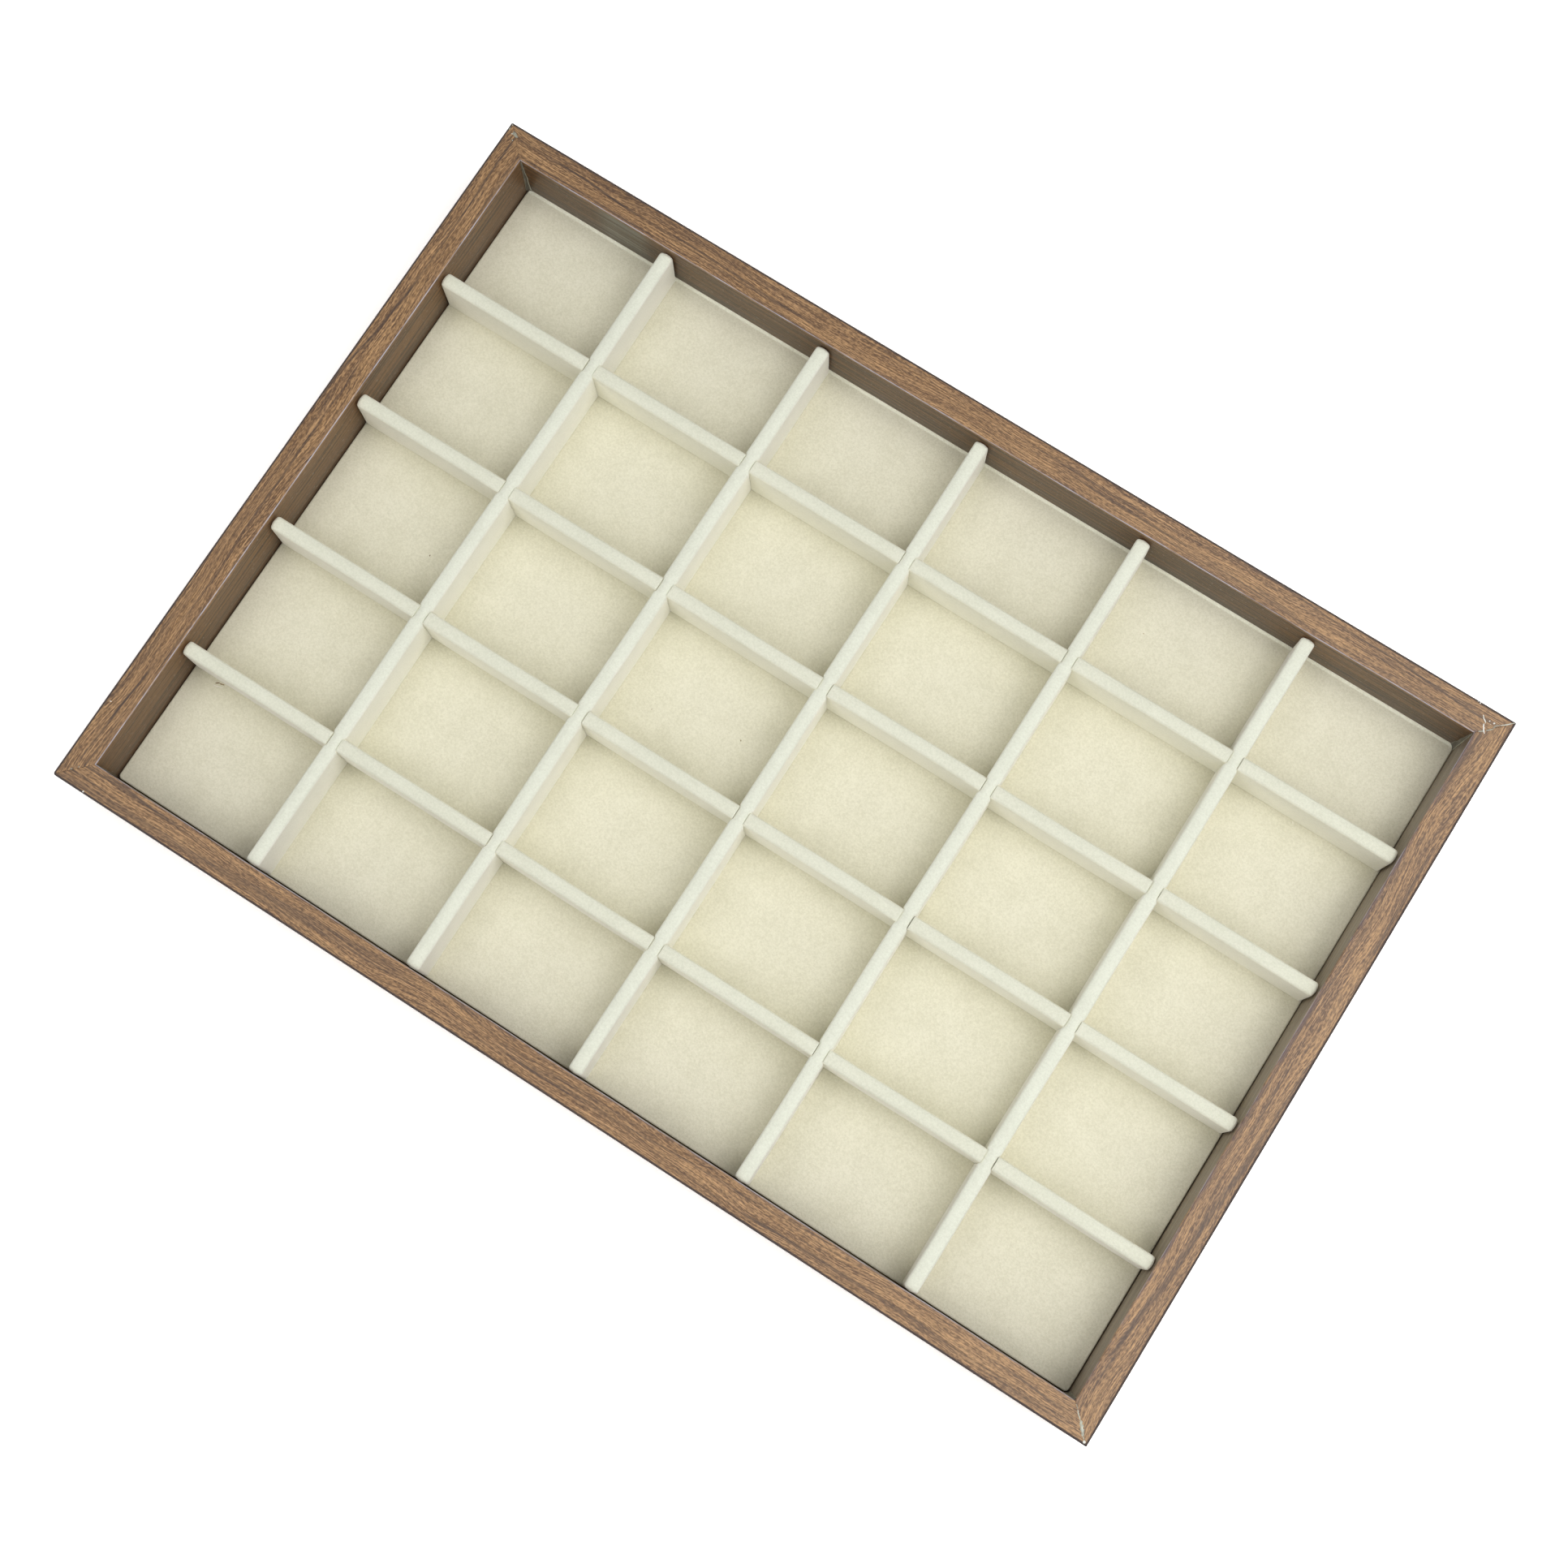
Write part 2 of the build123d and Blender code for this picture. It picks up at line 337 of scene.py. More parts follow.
def rail_section(skin):
    """The outline of a rail from the inside of its foot, up the outer face, over the top and down the
    inner face, a skin's thickness inside the surface. The first column runs inwards, the second up."""
    left, right, low, high = skin, RAIL_WIDTH - skin, RAIL_FOOT + skin, FILM_TOP - skin
    bend, arris = FOOT_BEND - skin, ARRIS - skin
    up = np.linspace(low + bend, high - arris, OUTER_LINES + 2)[1:-1]
    over = np.linspace(left + arris, right - arris, TOP_LINES + 2)[1:-1]
    down = np.linspace(high - arris, board_top, INNER_LINES + 2)[1:-1]
    return np.concatenate([
        [(FOOT_WIDTH, low)],
        arc((left + bend, low + bend), bend, 270, 180, ARC_STEPS),
        np.column_stack([np.full(OUTER_LINES, left), up]),
        arc((left + arris, high - arris), arris, 180, 90, ARC_STEPS),
        np.column_stack([over, np.full(TOP_LINES, high)]),
        arc((right - arris, high - arris), arris, 90, 0, ARC_STEPS),
        np.column_stack([np.full(INNER_LINES, right), down]),
        [(right, board_top)],
    ])


def nearest(points, place):
    """Which point lies nearest to a place."""
    return np.argmin(np.hypot(*(points - place).T))


outer_section, inner_section = rail_section(0.0), rail_section(FILM_SKIN)
round_section = np.concatenate([[0], np.cumsum(np.hypot(*np.diff(outer_section, axis=0).T))])
inner_arris_at = round_section[nearest(outer_section, (RAIL_WIDTH, FILM_TOP))]
outer_arris_at = round_section[nearest(outer_section, (0, FILM_TOP))]
print("points", len(outer_section), "arrises at", round(outer_arris_at, 4), round(inner_arris_at, 4))

# %% [markdown]
# ## The print
#
# The film is printed, so its grain runs along each rail and turns with it over both arrises. A UV map
# gives the two directions: how far along the rail, and how far round its section. The print is built in
# layers of soft noise, each stretched along the rail: broad light and dark bands, threads that run on
# for centimetres, pores and fibres finer than a millimetre, and short flecks and specks. A photograph of
# wood would be quicker to use, but it would not run on round the corners. All layers drift sideways
# together, so the grain isn't ruled.

# %% The print
film = Finish("wood_grain_film", 0.36, Specular_IOR_Level=0.40)
DARK_BAND, MIDDLE_BAND, LIGHT_BAND = (0.128, 0.065, 0.028), (0.213, 0.112, 0.044), (0.305, 0.172, 0.071)
VEIN, PORE, FIBRE = (0.046, 0.028, 0.022), (0.080, 0.041, 0.023), (0.645, 0.388, 0.186)
GRAIN_DRIFT, DRIFT_SCALE = 9.0 * MM, (0.018, 0.07, 1)

# Each layer: its blobs in a millimetre along and across the rail, its start, its detail, its roughness
LAYERS = {
    "bands": ((0.010, 0.33), (0.0, 0.0), 3.0, 0.60),
    "fibres": ((0.032, 2.2), (0.0, 0.0), 3.0, 0.75),
    "pores": ((0.065, 2.7), (0.3, 0.7), 2.0, 0.80),
    "threads": ((0.022, 1.4), (0.7, 0.6), 2.0, 0.60),
    "flecks": ((0.26, 3.0), (0.0, 0.0), 2.0, 0.90),
    "specks": ((0.75, 2.9), (0.1, 0.2), 1.0, 0.50),
    "vein_field": ((0.0045, 0.16), (0.5, 0.2), 2.5, 0.50),
    "vein_share": ((0.012, 0.22), (0.9, 0.4), 1.0, 0.50),
}
# Each shade: its layer, the values at which it starts and is full, how much of it shows, its colour
SHADES = [
    ("pores", 0.52, 0.40, 0.80, PORE),
    ("fibres", 0.49, 0.62, 0.70, FIBRE),
    ("threads", 0.51, 0.62, 0.22, FIBRE),
    ("threads", 0.49, 0.38, 0.32, PORE),
    ("flecks", 0.51, 0.60, 0.34, FIBRE),
    ("flecks", 0.49, 0.40, 0.42, PORE),
    ("specks", 0.50, 0.62, 0.28, FIBRE),
    ("specks", 0.50, 0.38, 0.40, PORE),
]

drift = film.noise(film.places(DRIFT_SCALE, uv=True), detail=1.0)
drift = film.times(film.sum_of("SUBTRACT", drift, 0.5), GRAIN_DRIFT)
grain = film.moved(film.add("ShaderNodeTexCoord", {}).outputs["UV"], drift)
layers = {
    name: film.noise(film.stretched(grain, (*scale, 1), (*start, 0)), detail=detail, rough=rough)
    for name, (scale, start, detail, rough) in LAYERS.items()
}
wood = film.ramp(layers["bands"], (0.37, DARK_BAND), (0.50, MIDDLE_BAND), (0.63, LIGHT_BAND))
for name, start, full, share, colour in SHADES:
    wood = film.blend(film.between(layers[name], start, full, 0.0, share), wood, colour)
print("layers of the print:", list(layers))

# %% [markdown]
# ## Veins of the print
#
# The dark veins are contour lines of a very long soft noise, because contour lines meet and part as real
# growth rings do. Ping-pong folds the noise up and down several times, and a vein runs wherever the
# folded value comes near zero. A second noise hides most of them. The longest veins are listed further
# down and reach the material as an attribute of the mesh.

# %% Veins of the print
CONTOURS, CONTOUR_WIDTH, VEIN_SHARE = 6.0, 0.07, 0.55
contour = film.sum_of("PINGPONG", film.times(layers["vein_field"], CONTOURS), 0.5)
line = film.between(contour, 0.0, CONTOUR_WIDTH, 1.0, 0.0)
line = film.times(line, film.between(layers["vein_share"], 0.40, 0.58, 0.0, VEIN_SHARE))
long_line = film.add("ShaderNodeAttribute", {}, attribute_name="long_veins").outputs["Fac"]
line = film.sum_of("MAXIMUM", line, long_line)
line = film.times(line, film.between(layers["pores"], 0.42, 0.66, 1.0, 0.7))
wood = film.blend(line, wood, VEIN)
print("nodes so far:", len(film.tree.nodes))

# %% [markdown]
# ## Inner walls
#
# The inner walls take less light and more dust than the rim. Their colour is painted darker, as painted
# shade, and striped along their length: the right one lighter and grey, as a painted reflection, and the
# others brown, with the left one a little lighter. The brown ones turn darker and greyer towards the
# foot, as painted shade. On the back wall, in the first compartment, a pale greenish patch is a painted
# reflection of the pad. All of this is laid over the print by place, because one film covers rim and
# walls: the UV map tells how far a point lies past the inner arris, and object coordinates tell which
# rail it is on.

# %% Inner walls
WALL_SHADE_DARK, WALL_SHADE_BROWN, WALL_FOOT_SHADE = (0.022, 0.012, 0.007), (0.175, 0.088, 0.035), (0.080, 0.068, 0.056)
WALL_REFLECTION_GREY, WALL_REFLECTION_PALE = (0.125, 0.106, 0.084), (0.340, 0.306, 0.250)
DUST, REFLECTION_TINT = (0.42, 0.39, 0.33), (0.230, 0.235, 0.190)
WALL_SHADE_SHARE, FOOT_SHADE_SHARE, REFLECTION_SHARE, DUST_SHARE = 0.75, 0.45, 0.75, 0.40
ROW_SCALE, DUST_SCALE = (0.016, 0.80, 1), (0.9, 1.1, 1)
LEFT_SHADE_LIFT = 0.055
REFLECTION_PLACE, REFLECTION_HALF, REFLECTION_END = -129 * MM, 4 * MM, 12 * MM

place_round = film.coordinate("UV", "Y")
place_x, place_y = film.coordinate("Object", "X"), film.coordinate("Object", "Y")
past_inner = film.sum_of("SUBTRACT", place_round, inner_arris_at)
is_right = film.between(place_x, INNER_X - 0.4 * MM, INNER_X - 0.2 * MM)
is_left = film.between(place_x, 0.2 * MM - INNER_X, 0.4 * MM - INNER_X, 1.0, 0.0)

# Painted shade: the walls' colour is blended towards dark striped browns, and on the right wall towards
# lighter greys, as a painted reflection. The left wall's painted shade is a little lighter.
on_wall = film.between(past_inner, 0.3 * MM, 2.0 * MM)
rows = film.noise(film.places(ROW_SCALE, uv=True), detail=3.0, rough=0.70)
row_share = film.between(film.sum_of("MULTIPLY_ADD", is_left, LEFT_SHADE_LIFT, rows), 0.44, 0.60)
brown = film.blend(row_share, WALL_SHADE_DARK, WALL_SHADE_BROWN)
grey = film.blend(row_share, WALL_REFLECTION_GREY, WALL_REFLECTION_PALE)
wood = film.blend(film.times(on_wall, WALL_SHADE_SHARE), wood, film.blend(is_right, brown, grey))
# Painted shade: the brown walls turn darker and greyer towards their foot.
foot = film.between(past_inner, 9 * MM, 19 * MM, 0.0, FOOT_SHADE_SHARE)
wood = film.blend(film.times(foot, film.sum_of("SUBTRACT", 1.0, is_right)), wood, WALL_FOOT_SHADE)

# A pale greenish patch on the back wall, in the first compartment, is a painted reflection of the pad.
from_reflection = film.sum_of("ABSOLUTE", film.sum_of("SUBTRACT", place_x, REFLECTION_PLACE))
painted_reflection = film.between(from_reflection, REFLECTION_HALF, REFLECTION_END, REFLECTION_SHARE, 0.0)
painted_reflection = film.times(painted_reflection, film.between(rows, 0.36, 0.56))
on_back = film.between(place_y, 0.0, 1 * MM)
wood = film.blend(film.times(painted_reflection, film.times(on_wall, on_back)), wood, REFLECTION_TINT)
dust = film.between(film.noise(film.places(DUST_SCALE, uv=True), detail=1.0), 0.66, 0.74, 0.0, DUST_SHARE)
wood = film.blend(film.times(on_wall, dust), wood, DUST)
print("nodes so far:", len(film.tree.nodes))

# %% [markdown]
# ## Lines along the arrises
#
# Where the film is bent over the inner arris it is stretched pale, and the pale line is partly a painted
# highlight on the bent edge; a dark bruise lies beside it on the rim. A dark, duller line runs round the
# outer arris. Both lines are narrow bands by distance from the arris, and a noise along the rail makes
# the inner one come and go.

# %% Lines along the arrises
PALE_ARRIS_HIGHLIGHT, DARK_ARRIS, BRUISE = (0.54, 0.51, 0.56), (0.030, 0.024, 0.026), (0.085, 0.055, 0.060)
WEAR_SCALE, BRUISE_SHARE, DARK_LINE_SHARE, DARK_LINE_DULL = (0.12, 0.25, 1), 0.55, 0.92, 0.35
GRAIN_DEPTH, VEIN_GROOVE = 0.035 * MM, 0.6

wear = film.between(film.noise(film.places(WEAR_SCALE, uv=True), detail=3.0), 0.36, 0.60)
bruise = film.between(past_inner, -1.3 * MM, -0.35 * MM, 0.0, BRUISE_SHARE)
bruise = film.times(bruise, film.between(past_inner, 0.0, 0.3 * MM, 1.0, 0.0))
bruise = film.times(bruise, film.sum_of("MULTIPLY_ADD", is_right, 0.9, 0.45))
wood = film.blend(film.times(bruise, wear), wood, BRUISE)
# The pale line over the inner arris is stretched film, and partly a painted highlight.
pale = film.between(film.sum_of("ABSOLUTE", past_inner), 0.09 * MM, 0.23 * MM, 1.0, 0.0)
pale_highlight_share = film.sum_of("MULTIPLY_ADD", wear, 0.60, film.sum_of("MULTIPLY_ADD", is_right, -0.30, 0.40))
wood = film.blend(film.times(pale, pale_highlight_share), wood, PALE_ARRIS_HIGHLIGHT)
# A dark, duller line runs round the outer arris.
past_outer = film.sum_of("SUBTRACT", place_round, outer_arris_at)
dark_outer_line = film.between(past_outer, -0.40 * MM, -0.15 * MM)
dark_outer_line = film.times(dark_outer_line, film.between(past_outer, 0.46 * MM, 0.80 * MM, 1.0, 0.0))
wood = film.blend(film.times(dark_outer_line, DARK_LINE_SHARE), wood, DARK_ARRIS)

film.set("Base Color", wood)
gloss = film.between(layers["fibres"], 0.3, 0.7, 0.30, 0.44)
film.set("Roughness", film.sum_of("MULTIPLY_ADD", dark_outer_line, DARK_LINE_DULL, gloss))
grain_height = film.sum_of("ADD", layers["fibres"], layers["pores"])
film.relief(film.sum_of("MULTIPLY_ADD", line, -VEIN_GROOVE, grain_height), GRAIN_DEPTH)
print("nodes of the film:", len(film.tree.nodes))

# %% [markdown]
# ## Helpers for meshes
#
# Each shape below is worked out as whole numpy arrays. One function turns points and faces into a
# piece. It measures the signed volume of the mesh, which is negative when the faces point inwards, and
# then turns every face round.

# %% Helpers for meshes
def signed_volume(points, quads):
    """Six times the volume, from the pyramids between the origin and each half of each face."""
    first, second, third, fourth = (points[quads[:, corner]] for corner in range(4))
    halves = np.cross(first, second) * third + np.cross(first, third) * fourth
    return float(halves.sum())


def make_piece(name, points, faces, finish, body, stands_for=(), uv=None, veins=None):
    """Makes a smooth piece from points and quads, with its faces outwards, and puts it on its body."""
    if signed_volume(points, faces) < 0:
        faces = faces[:, ::-1]
    mesh = bpy.data.meshes.new(name)
    mesh.from_pydata(points.tolist(), [], faces.tolist())
    if uv is not None:
        corners = np.zeros(len(mesh.loops), np.int32)
        mesh.loops.foreach_get("vertex_index", corners)
        mesh.uv_layers.new(name="along_and_round").data.foreach_set("uv", uv[corners].ravel())
    if veins is not None:
        mesh.attributes.new("long_veins", "FLOAT", "POINT").data.foreach_set("value", veins.ravel())
    mesh.polygons.foreach_set("use_smooth", np.ones(len(mesh.polygons), bool))
    mesh.materials.append(finish.material)
    piece = bpy.data.objects.new(name, mesh)
    bpy.context.scene.collection.objects.link(piece)
    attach(piece, body)
    if stands_for:
        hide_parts(*stands_for)
    print(f"{name}: {len(points)} points, {len(faces)} faces")
    return piece


PYRAMID = np.array([(0, 0, 0), (1, 0, 0), (0, 1, 0), (0, 0, 1)], float)
PYRAMID_QUADS = np.array([(0, 2, 1, 1), (0, 1, 3, 3), (0, 3, 2, 2), (1, 2, 3, 3)])
print("six times the volume of a small pyramid:", signed_volume(PYRAMID, PYRAMID_QUADS))

# %% [markdown]
# ## Faces of grids and tubes
#
# A surface is a grid of points that are numbered row by row, and its faces follow from the numbers. A
# tube is the same grid with every row closed. A ladder of quads closes each end of it, because a fan of
# thin triangles would meet in one point and shade badly.

# %% Faces of grids and tubes
def grid_quads(rows, columns, closed_rows=False):
    """Faces of a grid of points numbered row by row; closed_rows joins each row's end to its start."""
    steps = columns if closed_rows else columns - 1
    row, column = np.meshgrid(np.arange(rows - 1), np.arange(steps), indexing="ij")
    start, after = row * columns + column, row * columns + (column + 1) % columns
    return np.stack([start, after, after + columns, start + columns], axis=-1).reshape(-1, 4)


def tube_faces(stations, count):
    """Faces of a ring of points carried past some stations, with both ends closed. Points i and
    count - 1 - i of a ring face each other, so the end is closed by a ladder of quads between them."""
    near = np.arange(count // 2 - 1)
    ladder = np.stack([near, count - 1 - near, count - 2 - near, near + 1], axis=-1)
    ends = [ladder, ladder[:, ::-1] + (stations - 1) * count]
    return np.concatenate([grid_quads(stations, count, closed_rows=True)] + ends)


print("a tube of two rings of four points is a box of", len(tube_faces(2, 4)), "faces")

# %% [markdown]
# ## Uneven lines and round corners
#
# Nothing on the tray is quite straight. A few sines with random lengths add up to a smooth wandering
# line, and a fixed seed gives the same line every time. The rectangles of cloth, felt and film have
# round corners, and their grids are drawn in there, so that they need no extra points.

# %% Uneven lines and round corners
ROUNDING = 1e-9


def wander(places, wave, seed, waves=5):
    """A smooth random line about zero, from sines near one wavelength, with a size of about one."""
    random = np.random.default_rng(seed)
    lengths = wave * random.uniform(0.6, 1.7, waves)
    starts = random.uniform(0, 2 * math.pi, waves)
    rows = np.sin(2 * math.pi * np.asarray(places)[..., None] / lengths + starts)
    return rows.sum(axis=-1) / math.sqrt(waves)


def round_plan(across, along, half_across, half_along, radius):
    """Rounds the four corners of a rectangle: each corner square is drawn in until it is a quarter disc.
    A point keeps its direction from the disc's centre, and its square distance becomes its round one."""
    side_across, side_along = np.sign(across), np.sign(along)
    past_across = np.abs(across) - (half_across - radius)
    past_along = np.abs(along) - (half_along - radius)
    in_corner = (past_across > 0) & (past_along > 0)
    square = np.maximum(past_across, past_along)
    shrink = np.where(in_corner, square / np.maximum(np.hypot(past_across, past_along), ROUNDING), 1.0)
    new_across = np.where(in_corner, side_across * (half_across - radius + past_across * shrink), across)
    new_along = np.where(in_corner, side_along * (half_along - radius + past_along * shrink), along)
    return new_across, new_along


print("a wandering line:", wander(np.linspace(0, 1, 5), 1.0, seed=7).round(2))

# %% [markdown]
# ## Long veins
#
# Some veins of the print are long enough to be recognised: they drift across the top of a rail over
# several centimetres. Each is one row of a table. Their darkness is worked out for every point of the
# rail's mesh and kept as an attribute, because fifty separate lines are too much for a shader.

# %% Long veins of the print
VEIN_FADE, VEIN_SPREAD, VEIN_FLAT = 9.0 * MM, 1.4, 1.25
VEIN_SWAY, SWAY_WAVE = 0.10 * MM, 25 * MM

# Each vein, in millimetres: two places along the rail, its depth in from the outer edge at both, its
# width, and then its darkness
LONG_VEINS = {
    "back": [
        (-170, -152, 3.2, 3.7, 0.5, 0.55), (-152, -128, 3.7, 4.6, 0.6, 0.95),
        (-128, -104, 4.6, 5.6, 0.5, 0.50), (-110, -72, 4.5, 5.7, 0.6, 0.75),
        (-98, -66, 6.4, 6.0, 0.5, 0.55), (-160, -120, 7.9, 8.1, 0.5, 0.70),
        (-43, -28, 1.5, 2.0, 0.5, 0.55), (16, 50, 3.2, 3.7, 0.5, 0.55),
        (32, 62, 5.0, 5.5, 0.6, 0.60), (92, 126, 0.9, 2.2, 0.5, 0.60),
        (126, 166, 2.2, 3.9, 0.5, 0.80), (82, 100, 6.2, 6.7, 0.5, 0.50),
        (-172, -60, 1.6, 2.4, 2.0, 0.30), (60, 170, 7.0, 7.9, 0.6, 0.35),
    ],
    "left": [
        (-116, -96, 4.2, 4.9, 0.5, 0.60), (-97, -81, 4.9, 5.8, 0.6, 0.95),
        (-113, -101, 6.6, 7.2, 0.5, 0.60), (-75, -62, 8.0, 8.3, 0.5, 0.60),
        (-58, -22, 5.8, 5.0, 0.5, 0.50), (-24, 6, 5.0, 4.8, 0.6, 0.80),
        (22, 48, 0.9, 3.2, 0.6, 0.90), (46, 60, 3.2, 4.2, 0.7, 0.90),
        (60, 88, 4.2, 4.1, 0.5, 0.60), (86, 117, 4.1, 3.6, 0.5, 0.85),
        (12, 24, 4.6, 5.0, 0.5, 0.50), (96, 112, 7.9, 8.0, 0.5, 0.50),
        (-80, 20, 2.4, 3.0, 1.8, 0.25),
    ],
    "front": [
        (-158, -140, 7.9, 6.9, 0.6, 0.85), (-172, -133, 1.5, 2.5, 1.6, 0.45),
        (-134, -88, 2.4, 4.5, 1.5, 0.50), (-112, -66, 2.0, 4.6, 0.8, 0.45),
        (-90, -60, 5.2, 6.6, 1.4, 0.45), (-14, 2, 3.5, 3.8, 0.6, 0.80),
        (-4, 24, 6.0, 6.6, 0.9, 0.45), (6, 58, 4.4, 6.6, 0.6, 0.50),
        (66, 78, 2.4, 3.0, 0.6, 0.90), (78, 118, 3.0, 3.3, 0.9, 0.50),
        (146, 162, 5.9, 5.4, 0.5, 0.65), (120, 160, 2.6, 2.2, 1.2, 0.35),
        (-172, -160, 4.0, 3.8, 0.5, 0.60), (-168, -158, 7.2, 7.2, 0.5, 0.60),
    ],
    "right": [
        (-96, -60, 6.4, 3.9, 1.3, 0.60), (-62, -24, 3.9, 1.8, 1.5, 0.65),
        (-24, 0, 1.8, 0.6, 1.2, 0.50), (10, 22, 8.2, 8.4, 0.8, 0.50),
        (42, 68, 1.6, 1.9, 0.9, 0.60), (94, 112, 8.0, 7.2, 0.7, 0.70),
        (28, 46, 7.2, 6.6, 0.6, 0.50), (-40, 10, 7.9, 8.2, 1.0, 0.40),
    ],
}


def vein_shades(side, place, inset):
    """How dark the long veins are at each point. A vein's depth in from the outer edge follows a smooth
    step between its two ends. Its darkness falls off as a parabola across it, and fades past its ends."""
    shades = np.zeros(place.shape)
    sway = VEIN_SWAY * wander(place, SWAY_WAVE, seed=len(side))
    for first, last, first_depth, last_depth, width, strength in LONG_VEINS[side]:
        share = np.clip((place / MM - first) / (last - first), 0, 1)
        depth = (first_depth + (last_depth - first_depth) * share**2 * (3 - 2 * share)) * MM + sway
        across = VEIN_FLAT - ((inset - depth) / (VEIN_SPREAD * width * MM / 2)) ** 2
        past_ends = np.maximum(first * MM - place, place - last * MM)
        shown = strength * np.clip(across, 0, 1) * np.clip(1 - past_ends / VEIN_FADE, 0, 1)
        shades = np.maximum(shades, shown)
    return shades


print("long veins:", sum(len(veins) for veins in LONG_VEINS.values()))

# %% [markdown]
# ## The four rail films
#
# Each film is the rail's section carried along the rail. The stations close up towards the ends, and
# every line of the section stops at its own distance from the corner, which makes the mitre. The film
# is continuous round the two left corners, where the rail was folded, so the left rail's UV map goes on
# from the front rail's, and the back rail's from the left rail's. One corner is a little blunted. A
# curve with a bevel would give the same shape, but not the UV map that the grain needs.

# %% The four rail films
CORNER_ROUND, BLUNT_CORNER = 0.25 * MM, 0.9 * MM
MITRE_GAP = 0.03 * MM
STATION_STEP = 3.0 * MM
END_STATIONS = np.array([0.0, 0.25, 0.6, 1.2, 2.5]) * MM
RIM_WANDER, RIM_WAVE, CALM_END = 0.05 * MM, 60 * MM, 20 * MM
UPPER_PART = 3 * MM

# Each rail: the middle of its outer edge, the way inwards, the way onwards, half its run, and where its
# print starts
RAILS = {
    "front": ((0, -HALF_WIDTH), (0, 1), (-1, 0), HALF_LENGTH, 0.0),
    "left": ((-HALF_LENGTH, 0), (1, 0), (0, 1), HALF_WIDTH, HALF_LENGTH + HALF_WIDTH),
    "back": ((0, HALF_WIDTH), (0, -1), (1, 0), HALF_LENGTH, 2 * (HALF_LENGTH + HALF_WIDTH)),
    "right": ((HALF_LENGTH, 0), (-1, 0), (0, -1), HALF_WIDTH, 3.7 * (HALF_LENGTH + HALF_WIDTH)),
}


def rail_film(side, seed):
    """Carries the section's outer and inner lines along one rail, and joins them at both ends. The inner
    arris and the face just below it wander a little, and less and less towards the mitres."""
    middle_point, inwards, onwards, half_run, print_start = RAILS[side]
    first = half_run - END_STATIONS[-1] - STATION_STEP / 2
    plain = np.linspace(-first, first, round(2 * first / STATION_STEP))
    stations = np.concatenate([-half_run + END_STATIONS, plain, half_run - END_STATIONS[::-1]])
    ring = np.concatenate([outer_section, inner_section[::-1]])
    round_ring = np.concatenate([round_section, round_section[::-1]])
    inset, level = ring.T
    reach = (half_run - inset - MITRE_GAP) / half_run
    run = stations[:, None] * reach[None, :]
    calm = np.clip((half_run - np.abs(stations)) / CALM_END, 0, 1)
    sway = (RIM_WANDER * wander(stations, RIM_WAVE, seed) * calm)[:, None]
    depth = inset + sway * (inset > 2 * ARRIS) * (level > RIM - UPPER_PART)
    x = middle_point[0] + inwards[0] * depth + onwards[0] * run
    y = middle_point[1] + inwards[1] * depth + onwards[1] * run
    radius = np.where((x < 0) & (y < 0), BLUNT_CORNER, CORNER_ROUND)
    x, y = round_plan(x, y, HALF_LENGTH, HALF_WIDTH, radius)
    points = np.stack([x, y, np.broadcast_to(level, x.shape)], axis=-1).reshape(-1, 3)
    uv = np.stack([print_start + run, np.broadcast_to(round_ring, run.shape)], axis=-1).reshape(-1, 2)
    on_top = level > FILM_TOP - ARRIS
    veins = vein_shades(side, sum(onwards) * run, np.broadcast_to(inset, run.shape)) * on_top
    faces = tube_faces(len(stations), len(ring))
    node = f"{side}_rail_wrap"
    return make_piece(f"{side}_film", points, faces, film, "tray", (node,), uv, veins)


for seed, side in enumerate(RAILS):
    rail_film(side, seed)

# %% [markdown]
# ## Suede cloth
#
# The pad and the dividers wear the same cream microfibre suede. Its pile is short and lies in patches,
# so the colour is mottled at two scales, and the surface has a fine relief with a soft sheen at low
# angles. The cloth on the pad is a shade yellower, and so is the long dividers', whose pile lies the
# other way. Along a divider's narrow top the colour is multiplied darker than on the sides, as painted
# shade. Along the fold at the back of the pad it is multiplied lighter, as a painted highlight. A hair
# system would show every fibre, but from this height suede is only a soft, mottled colour.

# %% Suede cloth
SHEEN_CREAM = (1.0, 0.97, 0.87, 1.0)
PILE_SCALE, PATCH_SCALE, PILE_DEPTH = (1.5, 1.5, 1.5), (0.10, 0.10, 0.10), 0.14 * MM
TOP_SHADE_DEPTH = 0.9 * MM
TOP_SHADE_BAND = ("Z", DIVIDER_TOP - TOP_SHADE_DEPTH, DIVIDER_TOP - TOP_SHADE_DEPTH / 3)
FOLD_HIGHLIGHT_BAND = ("Y", pad_high.y - 0.9 * MM, pad_high.y - 0.5 * MM)


